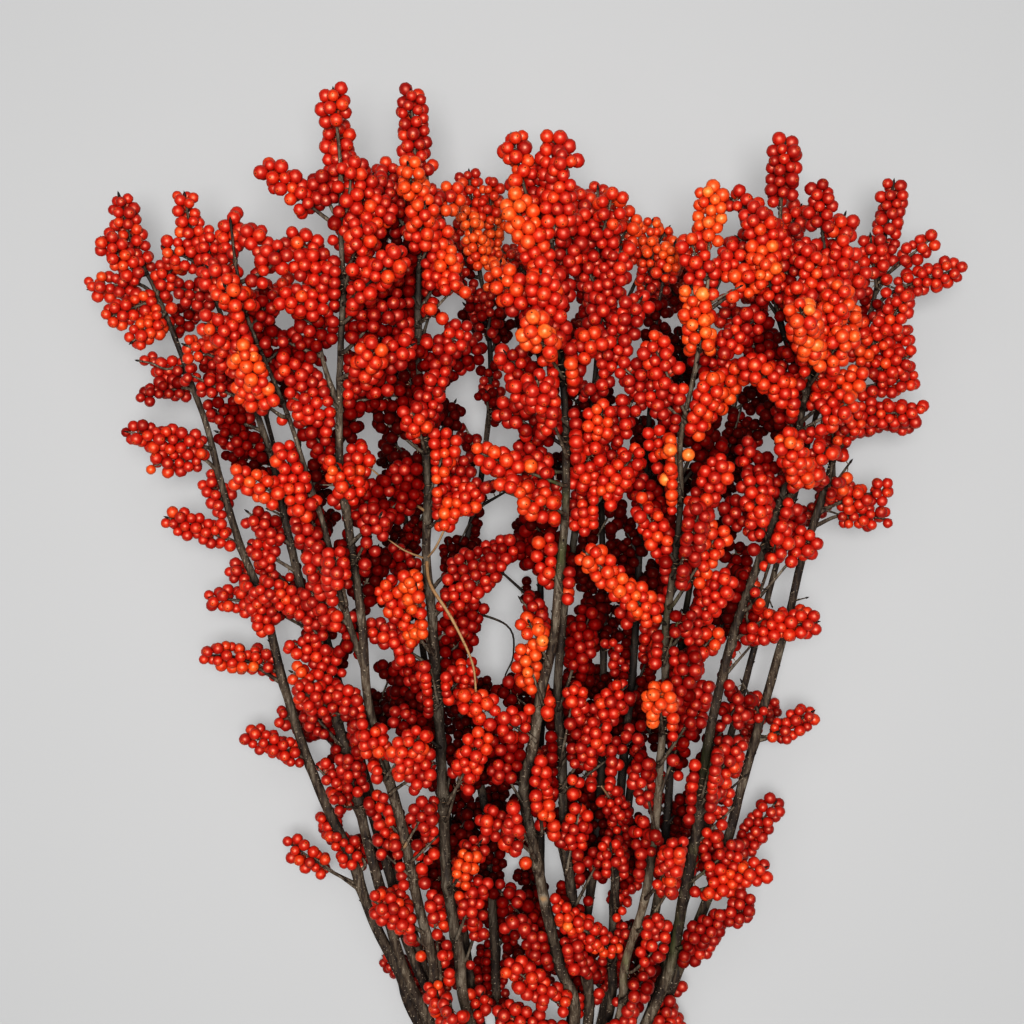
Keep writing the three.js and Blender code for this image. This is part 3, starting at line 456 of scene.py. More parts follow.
            (1, 176, 295, 153, 328, 24, 0.45), (1, 178, 344, 192, 372, 5, 0.1),
            (1, 174, 274, 136, 300, 10, 0.25), (0, 192, 235, 157, 261, 20, 0.3),
            (0, 210, 328, 223, 366, 3, 0.1), (0, 209, 291, 235, 326, 5, 0.1),
            (0, 204, 270, 188, 316, 45, 0.25), (0, 200, 249, 223, 282, 52, 0.35),
            (0, 197, 225, 231, 253, 30, 0.35), (0, 192, 207, 181, 239, 15, 0.05),
            (0, 192, 179, 183, 209, 62, 0.3), (0, 181, 165, 153, 202, 15, 0),
            (0, 171, 134, 143, 162, 26, 0.05), (0, 183, 158, 207, 179, 20, 0.2),
            (0, 160, 95, 199, 141, 12, 0.1), (0, 155, 81, 146, 134, -6, -0.5),
            (0, 157, 74, 203, 81, 12, 0.1), (0, 141, 46, 157, 64, 4, -0.1),
            (0, 130, -6, 153, 32, -4, -0.2), (0, 124, -45, 146, -6, 14, 0.05),
            (0, 120, -73, 146, -48, 8, 0.05), (0, 132, -24, 102, -31, 22, 0.6),
            (0, 127, -105, 167, -91, 16, 0.2), (0, 110, -153, 130, -138, 8, 0),
        ],
        more=[
            (1, 176, 344, 157, 365, 10, 0.1), (1, 176, 330, 148, 350, 0, 0.1),
            (1, 176, 298, 164, 342, 20, 0.4), (1, 178, 323, 199, 344, 6, 0.1),
            (1, 185, 253, 153, 279, 26, 0.15), (1, 185, 249, 167, 282, 30, 0.15),
            (0, 206, 358, 206, 384, 0, 0), (0, 209, 305, 224, 344, 14, 0.1),
            (0, 209, 298, 199, 337, 12, 0.2), (0, 204, 267, 220, 314, 50, 0.3),
            (0, 202, 260, 192, 300, 60, 0.45), (0, 202, 256, 227, 298, 62, 0.45),
            (0, 200, 249, 183, 277, 56, 0.35), (0, 197, 218, 227, 235, 32, 0.2),
            (0, 188, 172, 210, 202, 30, 0.1), (0, 178, 158, 157, 181, 12, 0.05),
            (0, 169, 134, 160, 167, 26, 0.05), (0, 171, 123, 188, 167, -4, -0.4),
            (0, 162, 99, 178, 146, 15, 0.1), (0, 153, 78, 153, 116, -8, -0.5),
            (0, 164, 81, 190, 90, 4, 0.1), (0, 130, -10, 168, 18, 10, 0.1),
            (0, 122, -55, 153, -27, 12, 0.05), (0, 115, -101, 146, -76, 8, -0.05),
            (0, 115, -94, 130, -69, -4, -0.3), (0, 112, -145, 154, -116, 5, -0.2),
            (0, 90, -211, 97, -187, 5, -0.1), (0, 188, 207, 168, 232, -20, -0.4),
            (0, 125, -34, 127, -13, -10, -0.3), (0, 122, -60, 111, -43, -14, -0.3),
            (0, 123, -41, 130, -15, 10, 0),
        ],
        shows=[(0, 213, 260), (0, -183, 179)],
        bare=[
            (0.8, 0.1, [(158, 109, 0), (162, 105, 6), (167, 104, 8)]),
        ],
    ),
    dict(
        PLAIN_BRANCH, slot=(2, 0), rise=0, girth=0.95, pale=-0.3,
        limbs=[
            [
                (90, -200), (108, -159), (126, -115), (140, -75), (151, -33), (162, 6), (173, 46),
                (184, 86), (193, 125), (206, 165), (217, 202), (227, 237), (235, 275), (244, 310),
                (251, 349), (257, 388),
            ],
        ],
        spurs=[
            (0, 248, 333, 257, 388, 0, -0.05), (0, 260, 314, 304, 329, 3, 0.1),
            (0, 245, 316, 241, 351, 3, 0.1), (0, 242, 274, 265, 307, 20, 0.2),
            (0, 235, 245, 270, 251, -3, 0.1), (0, 230, 219, 265, 218, -5, 0),
            (0, 215, 179, 214, 226, 3, -0.1), (0, 222, 156, 253, 153, 0, 0),
            (0, 174, 2, 200, 18, 3, 0.1), (0, 148, -80, 174, -46, 5, -0.1),
            (0, 102, -204, 102, -176, 5, 0),
        ],
        more=[
            (0, 263, 333, 283, 349, 0, 0.1), (0, 241, 270, 268, 284, 8, 0.1),
            (0, 235, 263, 230, 295, 26, 0.5), (0, 235, 253, 268, 267, 5, 0.1),
            (0, 235, 226, 276, 228, 3, 0.1), (0, 223, 207, 232, 230, 20, 0.3),
            (0, 213, 174, 227, 193, 3, 0.1), (0, 210, 167, 222, 183, 6, 0.1),
            (0, 220, 165, 252, 174, 3, 0), (0, 212, 176, 214, 194, 6, -0.3),
            (0, 238, 293, 245, 311, 10, -0.1), (0, 167, 17, 151, 39, 8, -0.1),
        ],
        shows=[(0, 143, 178), (0, 88, 127), (0, 27, 64), (0, -75, 11)],
        bare=[
            (0.9, 0.2, [(187, 97, 0), (192, 97, 5), (196, 98, 6)]),
            (0.9, 0.1, [(161, 0, 0), (168, 1, 6), (175, 4, 8)]),
            (0.8, 0.1, [(205, 160, 0), (214, 162, 6), (221, 164, 8)]),
            (0.8, 0.1, [(205, 160, 0), (214, 158, 3), (223, 155, 4)]),
            (1.1, 0.2, [(245, 312, 0), (252, 322, 6), (257, 330, 8), (262, 334, 8)]),
            (0.9, 0.2, [(248, 318, 0), (254, 316, 4), (260, 314, 5)]),
        ],
    ),
    dict(
        PLAIN_BRANCH, slot=(0.5, -1), rise=10, size=0.95, girth=0.85, pale=-0.2,
        limbs=[
            [
                (56, -200), (60, -152), (62, -103), (65, -54), (69, -5), (74, 37), (77, 83),
                (79, 125), (82, 167), (85, 209), (88, 251), (91, 289), (96, 321), (104, 346),
            ],
        ],
        spurs=[
            (0, 74, 39, 60, 65, 5, 0), (0, 62, -94, 66, -49, 22, 0.5),
            (0, 63, -115, 84, -82, 10, 0), (0, 60, -160, 73, -131, 20, 0.1),
            (0, 59, -148, 18, -119, 26, 0.3), (0, 59, -167, 22, -147, 18, 0.1),
            (0, 80, 102, 59, 141, -5, -0.4), (0, 80, 95, 94, 139, -8, -0.4),
            (0, 73, -15, 85, 23, -6, -0.4),
        ],
        more=[
            (0, 99, 322, 104, 347, 4, 0.4), (0, 62, -118, 59, -75, 20, 0.1),
            (0, 87, 188, 80, 223, -6, -0.4), (0, 74, 27, 87, 62, 8, 0.3),
            (0, 92, 274, 94, 304, 6, -0.2), (0, 78, 95, 91, 122, -8, -0.4),
            (0, 80, 123, 67, 151, -6, -0.4), (0, 76, 63, 66, 75, -6, -0.6),
            (0, 72, 4, 63, 17, -8, -0.5), (0, 66, -53, 52, -33, 10, -0.2),
        ],
        shows=[(0, 32, 83), (0, -125, -91), (0, -183, -152)],
    ),
    dict(
        PLAIN_BRANCH, slot=(0, 0), rise=-40, stout=False, back=3, size=0.9, pale=-0.3,
        limbs=[
            [
                (31, -200), (39, -148), (46, -99), (51, -50), (53, -1), (54, 48), (54, 97),
                (53, 146), (52, 195), (53, 237), (59, 275), (71, 307), (84, 333), (99, 356),
            ],
        ],
        spurs=[(0, 83, 305, 111, 344, 12, 0.5), (0, 52, 160, 38, 188, -4, -0.6)],
        more=[
            (0, 88, 340, 101, 358, 0, 0.1), (0, 80, 330, 88, 361, 0, 0.2),
            (0, 83, 312, 90, 347, 16, 0.4), (0, 53, 228, 61, 247, 4, -0.6),
            (0, 54, 95, 39, 113, 14, -0.5), (0, 54, 62, 48, 78, 10, -0.6),
            (0, 54, 67, 61, 91, 6, -0.6), (0, 54, 25, 52, 49, 12, -0.5),
            (0, 51, -80, 50, -47, 8, -0.6), (0, 52, -43, 54, -21, 8, -0.6),
            (0, 37, -185, 36, -152, 8, -0.5), (0, 54, 17, 41, 46, 16, -0.3),
        ],
        shows=[(0, 134, 168), (0, -43, -10)],
    ),
    dict(
        PLAIN_BRANCH, slot=(1, 0), rise=-35, stout=False, back=4, size=0.92, pale=-0.3,
        limbs=[
            [
                (73, -200), (85, -148), (94, -99), (99, -50), (102, -1), (106, 48), (113, 97),
                (123, 142), (134, 184), (144, 226), (153, 265), (158, 303), (162, 333),
            ],
        ],
        spurs=[
            (0, 104, -15, 122, 27, -6, -0.5), (0, 122, 125, 146, 153, -4, -0.5),
            (0, 147, 230, 171, 247, -6, -0.6),
        ],
        more=[
            (0, 158, 303, 162, 335, 6, 0.2), (0, 141, 199, 150, 229, 10, -0.5),
            (0, 139, 185, 164, 223, 15, -0.6), (0, 135, 169, 146, 194, 6, -0.6),
            (0, 99, -60, 115, -43, 16, -0.5),
        ],
        shows=[(0, -69, -17)],
    ),
    dict(
        PLAIN_BRANCH, slot=(-1.5, -1), rise=-45, stout=False, back=7, size=0.9, pale=-0.3,
        limbs=[
            [
                (-57, -200), (-79, -137), (-98, -74), (-117, -10), (-135, 53), (-152, 117),
                (-170, 180), (-187, 243), (-204, 307),
            ],
        ],
        spurs=[],
        more=[(0, -199, 289, -203, 307, 0, -0.3), (0, -190, 256, -195, 276, 0, -0.5)],
    ),
    dict(
        PLAIN_BRANCH, slot=(1.5, -1), rise=-45, stout=False, back=7, size=0.9, pale=-0.2,
        limbs=[
            [
                (83, -200), (104, -137), (122, -74), (140, -10), (157, 53), (174, 117), (191, 180),
                (207, 243), (223, 307),
            ],
        ],
        spurs=[],
        more=[
            (0, 133, -41, 120, -21, 16, -0.5), (0, 148, 15, 158, 41, 20, -0.2),
            (0, 218, 289, 223, 307, 0, -0.3), (0, 210, 256, 215, 276, 0, -0.5),
        ],
        bare=[
            (0.8, 0.1, [(169, 98, 0), (172, 92, 5)]),
        ],
    ),
    dict(
        PLAIN_BRANCH, slot=(-1, -2), rise=-85, stout=False, back=8, size=0.88, pale=-0.3,
        limbs=[
            [
                (-32, -200), (-44, -134), (-54, -67), (-63, 0), (-73, 66), (-82, 133), (-91, 200),
                (-100, 267), (-109, 333),
            ],
        ],
        spurs=[],
        more=[
            (0, -106, 314, -109, 332, 0, -0.4), (0, -85, 123, -97, 152, 22, -0.5),
            (0, -83, 134, -71, 158, 25, -0.4),
        ],
        bare=[
            (0.8, 0.1, [(-41, -152, 0), (-39, -144, 8), (-35, -134, 12)]),
        ],
    ),
    dict(
        PLAIN_BRANCH, slot=(0, -2), rise=-92, stout=False, back=8, size=0.88, pale=-0.3,
        limbs=[
            [
                (10, -200), (10, -132), (10, -63), (10, 6), (10, 74), (10, 143), (10, 211),
                (10, 280), (10, 349),
            ],
        ],
        spurs=[(0, 10, 127, -4, 153, 12, -0.5)],
        more=[
            (0, 10, 329, 10, 348, 0, -0.4), (0, 10, 17, -14, 38, 25, -0.5),
            (0, 10, -111, -4, -89, 22, -0.6),
        ],
        bare=[
            (0.7, 0.1, [(10, 115, 0), (15, 113, 8), (21, 108, 12)]),
        ],
    ),
    dict(
        PLAIN_BRANCH, slot=(1, -2), rise=-85, stout=False, back=8, size=0.88, pale=-0.3,
        limbs=[
            [
                (52, -200), (61, -134), (69, -67), (77, 0), (85, 66), (93, 133), (100, 200),
                (108, 267), (115, 333),
            ],
        ],
        spurs=[],
        more=[
            (0, 113, 314, 115, 332, 0, -0.4), (0, 109, 251, 106, 283, 20, -0.6),
            (0, 90, 87, 87, 115, 18, -0.6),
        ],
    ),
]

# ---- vectors ------------------------------------------------------------------------
# A point is a numpy array of three numbers, or a row of such an array.
TINY = 1e-9  # lengths under this count as none
SLIGHT = 1e-6


def vec(*numbers):
    return np.array(numbers, dtype=float)


def length(v):
    return np.sqrt((v * v).sum(-1))


def unit(v):
    return v / np.maximum(length(v), TINY)[..., None]


def lerp(a, b, share):
    return a + (b - a) * share


def plan_scale(z):
    """How large a thing at height z looks in the plan."""
    return (EYE[2] - PLAN_HEIGHT) / (EYE[2] - z)


def from_plan(x, y, z):
    """The point at height z that the eye sees at x and y of the plan."""
    scale = (EYE[2] - z) / (EYE[2] - PLAN_HEIGHT)
    return vec(EYE[0] + (x - EYE[0]) * scale, EYE[1] + (y - EYE[1]) * scale, z)


def to_plan(points):
    eye = vec(EYE[0], EYE[1])
    return eye + (points[..., :2] - eye) * plan_scale(points[..., 2:])


TIE_IN_PLAN = to_plan(vec(TIE_X, TIE_Y, TIE_Z))[1]

STEEP = 0.95  # a line that climbs by more than this share of its length


def across(start, end):
    """A line's direction and two square to it, the first one level if the line isn't steep."""
    along = unit(end - start)
    level = vec(1, 0, 0) if abs(along[2]) > STEEP else vec(0, 0, 1)
    side = unit(np.cross(along, level))
    return along, side, np.cross(side, along)


# ---- limbs and spurs, placed as in the solids ---------------------------------------


def height_of(branch, plan_y):
    """A stem climbs evenly from its place in the tie to its rise at the top of the plan."""
    climb = (plan_y - TIE_IN_PLAN) / (PLAN_TOP - TIE_IN_PLAN)
    low = TIE_Z + branch["slot"][1] * ROW_HEIGHT
    return lerp(low, PLAN_HEIGHT + branch["rise"], climb)


def on_plan(branch, spot):
    return from_plan(spot[0], spot[1], height_of(branch, spot[1]))


def stem_route(branch):
    """The stem's route: cut end, both edges of the tie, then the plan."""
    x = branch["slot"][0] * STEM_PITCH
    z = TIE_Z + branch["slot"][1] * ROW_HEIGHT
    return [
        vec(TIE_X + x * CUT_FLARE, CUT_Y, z),
        vec(TIE_X + x, TIE_Y - TIE_WIDTH, z),
        vec(TIE_X + x, TIE_Y + TIE_WIDTH, z),
    ] + [on_plan(branch, spot) for spot in branch["limbs"][0]]


def stem_radius(branch, share):
    girth = 1 - share**STOUT_TAPER if branch["stout"] else (1 - share) ** SLENDER_TAPER
    return TIP_RADIUS + (STEM_RADIUS - TIP_RADIUS) * girth


def arm_radius(share):
    return ARM_RADIUS + (TIP_RADIUS - ARM_RADIUS) * share


def rings_of(route, radius_at, lead):
    """A limb's rings in the solids: the first `lead` points, then every second one."""
    last = len(route) - 1
    picks = [i for i in range(last + 1) if i < lead or i == last or (i - lead) % 2 == 1]
    return np.array([route[i] for i in picks]), np.array([radius_at(i / last) for i in picks])


def spots_on(centres):
    """Evenly spread spots along a limb's rings."""
    steps = np.arange(SPOTS_A_RING)[:, None] / SPOTS_A_RING
    parts = [lerp(a, b, steps) for a, b in zip(centres, centres[1:])]
    return np.concatenate(parts + [centres[-1:]])


def nearest_on(centres, point):
    spots = spots_on(centres)
    return spots[np.argmin(length(spots - point))]


def limbs_of(branch):
    route = stem_route(branch)
    stem = rings_of(route, lambda share: stem_radius(branch, share), 3)
    routes, made = [np.array(route)], [stem]
    for plan in branch["limbs"][1:]:
        route = [on_plan(branch, spot) for spot in plan]
        route[0] = nearest_on(stem[0], route[0])
        routes.append(np.array(route))
        made.append(rings_of(route, arm_radius, 1))
    return made, routes


def root_of(centres, x, y):
    """The place on a limb that a spur grows from, given its first berry in the plan."""
    spots = spots_on(centres)
    seen = to_plan(spots)
    miss = np.abs(seen[:, 1] - (y - SPUR_RISE * np.abs(x - seen[:, 0])))
    return spots[np.argmin(miss)]


def round_half_up(number):
    return math.floor(number + 0.5)


def planned_spur(limbs, row, slide):
    """Where a spur leaves its limb, its first berry and its tip, lifted by `slide`."""
    limb, base_x, base_y, tip_x, tip_y, lift, _ = row
    root = root_of(limbs[limb][0], base_x, base_y)
    base = from_plan(base_x, base_y, root[2] + (lift + slide) * BASE_LIFT)
    return root, base, from_plan(tip_x, tip_y, root[2] + lift + slide)


def back_spur(stem, number, start, slide):
    spots = spots_on(stem[0])
    at = round_half_up((start + number * BACK_SPUR_STEP) * (len(spots) - 1))
    root = spots[at]
    half = SPOTS_A_RING // 2
    along, side, up = across(spots[at - half], spots[min(at + half, len(spots) - 1)])
    turn = number * GOLDEN_TURN
    reach = lerp(*BACK_SPUR_LENGTHS, (number * GOLDEN_SHARE) % 1)
    out = unit(side * math.cos(turn) - up * abs(math.sin(turn)) * BACK_SPUR_DROOP)
    heading = along * math.cos(BACK_SPUR_LEAN) + out * math.sin(BACK_SPUR_LEAN)
    tip = root + heading * reach
    tip[2] = max(tip[2] + slide, LOWEST_TIP)
    return root, lerp(root, tip, THIN_START), tip


class Rods:
    """Every limb and spur so far, as rods.

    A row is the rod's start and end, its radius, its owner, whether it is a limb's, and whether
    it is a spur's thin start.
    """

    def __init__(self):
        self.rows = np.zeros((0, 10))

    def add(self, owner, start, end, radius, limb=0.0, thin=0.0):
        row = np.concatenate([start, end, [radius, owner, limb, thin]])
        self.rows = np.vstack([self.rows, row])

    def gaps(self, start, end):
        """From one rod's middle line to each other rod's."""
        a, b = self.rows[:, :3], self.rows[:, 3:6]
        p, q, r = end - start, b - a, start - a
        pp, qq, pq = (p * p).sum(), (q * q).sum(1), q @ p
        pr, qr = r @ p, (q * r).sum(1)
        bend = pp * qq - pq * pq
        safe = np.where(bend > TINY, bend, 1)
        s = np.where(bend > TINY, np.clip((pq * qr - pr * qq) / safe, 0, 1), 0)
        t = np.where(qq > TINY, (pq * s + qr) / np.where(qq > TINY, qq, 1), 0)
        ends = np.clip(t, 0, 1)
        again = np.clip((pq * ends - pr) / pp, 0, 1) if pp > TINY else s * 0
        s = np.where(t == ends, s, again)
        return length(r + p * s[:, None] - q * ends[:, None])

    def hit(self, owner, start, end, radius, thin, spacing, squeeze):
        """Whether a rod would touch another branch, or crowd its own branch's clusters."""
        gap = self.gaps(start, end)
        other = self.rows[:, 7] != owner
        room = radius + self.rows[:, 6] + CLEARANCE - squeeze * (self.rows[:, 8] == 0) * (1 - thin)
        if (other & (gap < room)).any():
            return True
        own = ~other & (self.rows[:, 8] == 0) & (self.rows[:, 9] == 0)
        return not thin and bool((own & (gap < spacing)).any())


limbs, routes = map(list, zip(*(limbs_of(branch) for branch in BRANCHES)))
rods = Rods()
for owner, made in enumerate(limbs):
    for centres, radii in made:
        for i in range(1, len(centres)):
            rods.add(owner, centres[i - 1], centres[i], max(radii[i - 1], radii[i]), limb=1.0)


def plant(spot_at, owner, hue, room, spacing, squeeze):
    """Slides a spur up or down until it is clear of all that is already there."""
    for slide in LIFT_STEPS:
        root, base, tip = spot_at(slide)
        start = lerp(base, tip, THIN_START)
        if tip[2] < LOWEST_TIP:
            continue
        if rods.hit(owner, root, start, TWIG_ROOM, 1, spacing, squeeze):
            continue
        if rods.hit(owner, start, tip, room, 0, spacing, squeeze):
            continue
        rods.add(owner, root, start, TWIG_ROOM, thin=1.0)
        rods.add(owner, start, tip, room)
        spurs[owner].append((root, base, tip, hue))
        return


def plant_all(kind, back_numbers, back_start, *room):
    """The planned spurs of every branch, and then the ones at every branch's back."""
    for owner, branch in enumerate(BRANCHES):
        for row in branch[kind]:
            plant(partial(planned_spur, limbs[owner], row), owner, row[6], *room)
    for owner, branch in enumerate(BRANCHES):
        for number in back_numbers(branch["back"]):
            spot_at = partial(back_spur, limbs[owner][0], number, back_start)
            plant(spot_at, owner, BACK_HUE, *room)


def between(count):
    """Numbers halfway between those of the first so many spurs."""
    return np.arange(count - 1) + 0.5


spurs = [[] for _ in BRANCHES]
plant_all("spurs", np.arange, FIRST_BACK_SPUR, CLUSTER_ROOM, OWN_SPACING, 0.0)
plant_all("more", between, MORE_BACK_START, MORE_ROOM, MORE_SPACING, MORE_SQUEEZE)

# ---- smooth routes ------------------------------------------------------------------


def catmull(points, step):
    """A smooth line through the points, cut into pieces about `step` long."""
    points = np.asarray(points, dtype=float)
    ends = np.vstack([2 * points[0] - points[1], points, 2 * points[-1] - points[-2]])
    made = []
    for p0, p1, p2, p3 in zip(ends, ends[1:], ends[2:], ends[3:]):
        count = max(int(round(length(p2 - p1) / step)), 1)
        t = (np.arange(count) / count)[:, None]
        made.append(
            0.5 * (2 * p1 + (p2 - p0) * t + (2 * p0 - 5 * p1 + 4 * p2 - p3) * t**2
                   + (3 * p1 - p0 - 3 * p2 + p3) * t**3)
        )
    return np.vstack(made + [points[-1:]])


def along_of(line):
    """How far each point of a line lies from its start."""
    return np.concatenate([[0], np.cumsum(length(np.diff(line, axis=0)))])


def eased(share):
    return share * share * (3 - 2 * share)


# Each stem and arm as a smooth line with its radii.
LIMB_STEP = 5.0
BARK_PLAY = 0.93  # a stem's round section inside the six-sided one of its solid, at the tie
SLIM = 0.82  # and how slim it is where the stems have spread
FLARE_END = 115.0  # how far past the tie the stems have slimmed down


def limb_line(branch, route, is_stem):
    """A limb's smooth line and its radii."""
    line = catmull(route, LIMB_STEP)
    share = along_of(line) / along_of(line)[-1]
    shape = (lambda s: stem_radius(branch, s)) if is_stem else arm_radius
    past = np.clip((line[:, 1] - TIE_Y - TIE_WIDTH) / FLARE_END, 0, 1)
    slim = lerp(1.0, SLIM * branch["girth"], eased(past))
    return line, np.array([shape(s) for s in share]) * BARK_PLAY * slim


lines = [
    [limb_line(branch, route, i == 0) for i, route in enumerate(made)]
    for branch, made in zip(BRANCHES, routes)
]


def on_lines(owner, point):
    """The nearest point of a branch's limbs, and the radius there."""
    best = None
    for line, radii in lines[owner]:
        gap = length(line - point)
        i = int(np.argmin(gap))
        if best is None or gap[i] < best[0]:
            best = (gap[i], line[i], radii[i])
    return best[1], best[2]


TWIG_STEP = 3.0
SHORT_START = 4.0  # a twig's bare start shorter than this isn't bent
BARE_SHARE = 0.5  # most of a twig that may be bare
ALONG_LIMB = 7.5  # a spur that stays this near to its limb is the limb's own berries
ALONG_WEIGHT = vec(1, 1, 0.6)  # and up and down it may stray a little farther
ALONG_PULL = (1.0, 0.6)  # how near to the limb such a spur is drawn, from its foot to its tip


def twig_of_spur(owner, root, base, tip, hue):
    """A smooth twig from the limb to its tip: its line, the length where berries start,
    its hue, and whether it has wood of its own. One that runs along a limb has none."""
    foot, _ = on_lines(owner, root)
    away = length(base - foot)
    points = [foot, base, tip] if away > SHORT_START else [foot, tip]
    line = catmull(points, TWIG_STEP)
    on_limb = np.array([on_lines(owner, point)[0] for point in line])
    own = length((line - on_limb) * ALONG_WEIGHT).max() > ALONG_LIMB
    start = min(away, length(tip - foot) * BARE_SHARE)
    if not own:
        line = line + (on_limb - line) * np.linspace(*ALONG_PULL, len(line))[:, None]
        line[:, 2] = on_limb[:, 2]
        start = min(start, SHORT_START)
    return line, start, hue, own


twigs = [[twig_of_spur(owner, *spur) for spur in made] for owner, made in enumerate(spurs)]

# ---- berries ------------------------------------------------------------------------
BERRY_RADIUS = 3.95
BERRY_SPREAD = 0.14  # of the size, from berry to berry
BERRIES_PER_MM = 0.82
FEWEST_BERRIES = 3
NODE_LENGTH = 8.5  # berries stand in whorls about this far apart
WHORL_SPREAD = 0.42  # how far a whorl's berries stray along the twig, of that length
WHORL_TURN = 0.3  # how far each strays round the twig from the golden angle
WHORL_FULL = (0.65, 1.3)  # the least and most full whorl: past 1, no berry is missing
WHORL_LOOSE = (0.2, 1.6)  # how far the least and most loose one stands off, of PEDICEL
BEFORE_START = 2.0  # berries may stand this far before the twig's bare part ends
LEAST_FRUITED = 4.0  # length of a twig that bears berries, at least
AIM = 2.0  # half the stretch of twig that gives its direction at a berry
TWIG_SKIN = 1.2  # from the twig's middle to the nearest a berry comes
PEDICEL = 2.6  # longest stalk
TIP_INSET = 1.5  # the last berry's middle lies this far inside the tip
TIP_LENGTH = 6.0  # over which the cluster closes round the twig's tip
TIP_CLOSE = 0.75  # and by how much

# How berries settle among each other.
TOUCH = 0.97  # they press a little where they touch
REACH = 11.0  # no two farther apart than this can touch
ROUNDS = 36
ROUNDS_A_LIST = 4  # rounds before the near pairs are listed again
STALK_PULL = 0.7  # share of the way back to its stalk's reach, each round
STEM_PUSH = 0.6  # share of the way off a stem that shows
WINDOW_PUSH = 0.25  # share of the way out of a window
WORST_OVERLAP = 0.84  # of two radii, nearer than which one of two berries is dropped
WOOD_OVERLAP = 0.7  # and the same between a berry and wood


def near_pairs(points, reach):
    """All pairs of points nearer than `reach`, through a grid of cells that wide."""
    cells = np.floor((points - points.min(0)) / reach).astype(np.int64) + 1
    span = cells.max(0) + 2
    key = (cells[:, 0] * span[1] + cells[:, 1]) * span[2] + cells[:, 2]
    order = np.argsort(key, kind="stable")
    ranked = key[order]
    found = []
    for dx in (0, 1):
        for dy in (-1, 0, 1):
            for dz in (-1, 0, 1):
                offset = (dx * span[1] + dy) * span[2] + dz
                if offset < 0:
                    continue
                low = np.searchsorted(ranked, key + offset, "left")
                count = np.searchsorted(ranked, key + offset, "right") - low
                first = np.repeat(np.arange(len(points)), count)
                skip = np.repeat(np.cumsum(count) - count, count)
                second = order[np.repeat(low, count) + np.arange(count.sum()) - skip]
                if offset == 0:
                    keep = first < second
                    first, second = first[keep], second[keep]
                found.append((first, second))
    a, b = (np.concatenate(part) for part in zip(*found))
    keep = length(points[a] - points[b]) < reach
    return a[keep], b[keep]


def point_at(line, lengths, away):
    return np.array([np.interp(away, lengths, line[:, axis]) for axis in range(3)])


def berries_on(line, start, full_size):
    """A twig's berries before they settle: each one's middle, its size and its stalk's foot."""
    lengths = along_of(line)
    end = lengths[-1] - TIP_INSET
    start = min(start, end - LEAST_FRUITED)
    count = max(int(round((end - start) * BERRIES_PER_MM)), FEWEST_BERRIES)
    turn = random.uniform(0, 2 * math.pi)
    nodes = max(int(round((end - start) / NODE_LENGTH)), 1)
    fullness = random.uniform(*WHORL_FULL, nodes)
    loose = random.uniform(*WHORL_LOOSE, nodes)
    for number in range(count):
        node = min(int((number + 0.5) / count * nodes), nodes - 1)
        if random.uniform(0, 1) > fullness[node]:
            continue
        away = lerp(start, end, (node + 0.5) / nodes)
        away += random.normal(0, WHORL_SPREAD) * NODE_LENGTH
        away = min(max(away, start - BEFORE_START), end)
        middle = point_at(line, lengths, away)
        ahead = point_at(line, lengths, min(away + AIM, lengths[-1]))
        behind = point_at(line, lengths, max(away - AIM, 0))
        _, side, up = across(behind, ahead)
        turn += GOLDEN_TURN + random.uniform(-WHORL_TURN, WHORL_TURN)
        size = full_size * random.uniform(1 - BERRY_SPREAD, 1 + BERRY_SPREAD)
        out = side * math.cos(turn) + up * math.sin(turn)
        rim = size + TWIG_SKIN + random.uniform(0, PEDICEL) * loose[node]
        tail = np.clip((away - (end - TIP_LENGTH)) / TIP_LENGTH, 0, 1)
        yield middle + out * rim * (1 - TIP_CLOSE * tail), size, middle


berries = [
    (*berry, owner, hue, number)
    for owner, branch in enumerate(BRANCHES)
    for number, (line, start, hue, _) in enumerate(twigs[owner])
    for berry in berries_on(line, start, BERRY_RADIUS * branch["size"])
]
centres, sizes, anchors, owners, hues, twig_of = map(np.array, zip(*berries))


def fine_limb(line, radii, step):
    """A limb's line in shorter steps, with its radii."""
    fine = catmull(line[::2], step)
    share = np.linspace(0, 1, len(fine))
    return fine, np.interp(share, np.linspace(0, 1, len(radii)), radii)


BALL_STEP = 3.0
TWIG_BALL = 0.9


def wood_balls():
    """The stems and twigs as rows of balls that berries can't enter."""
    spots, radii = [], []
    for made in lines:
        for line, thick in made:
            fine, thick = fine_limb(line, thick, BALL_STEP)
            spots.append(fine)
            radii.append(thick)
    for made in twigs:
        for line, _, _, own in made:
            if own:
                spots.append(line[1:-1])
                radii.append(np.full(max(len(line) - 2, 0), TWIG_BALL))
    return np.vstack(spots), np.concatenate(radii)


STRIP_STEP = 1.5
LEFT_ON_STEM = 0.45  # of a berry's radius that may still lie over a stem that shows
CLEAR_SIDE = 0.35  # past this share of the room a berry keeps to its side of the stem


def strip_field():
    fields = []
    for owner, branch in enumerate(BRANCHES):
        for limb, low, high in branch["shows"]:
            fine, thick = fine_limb(*lines[owner][limb], STRIP_STEP)
            seen = to_plan(fine)
            order = np.argsort(seen[:, 1])
            thick = thick * plan_scale(fine[:, 2])
            fields.append((low, high, seen[order], fine[order, 2], thick[order]))
    return fields


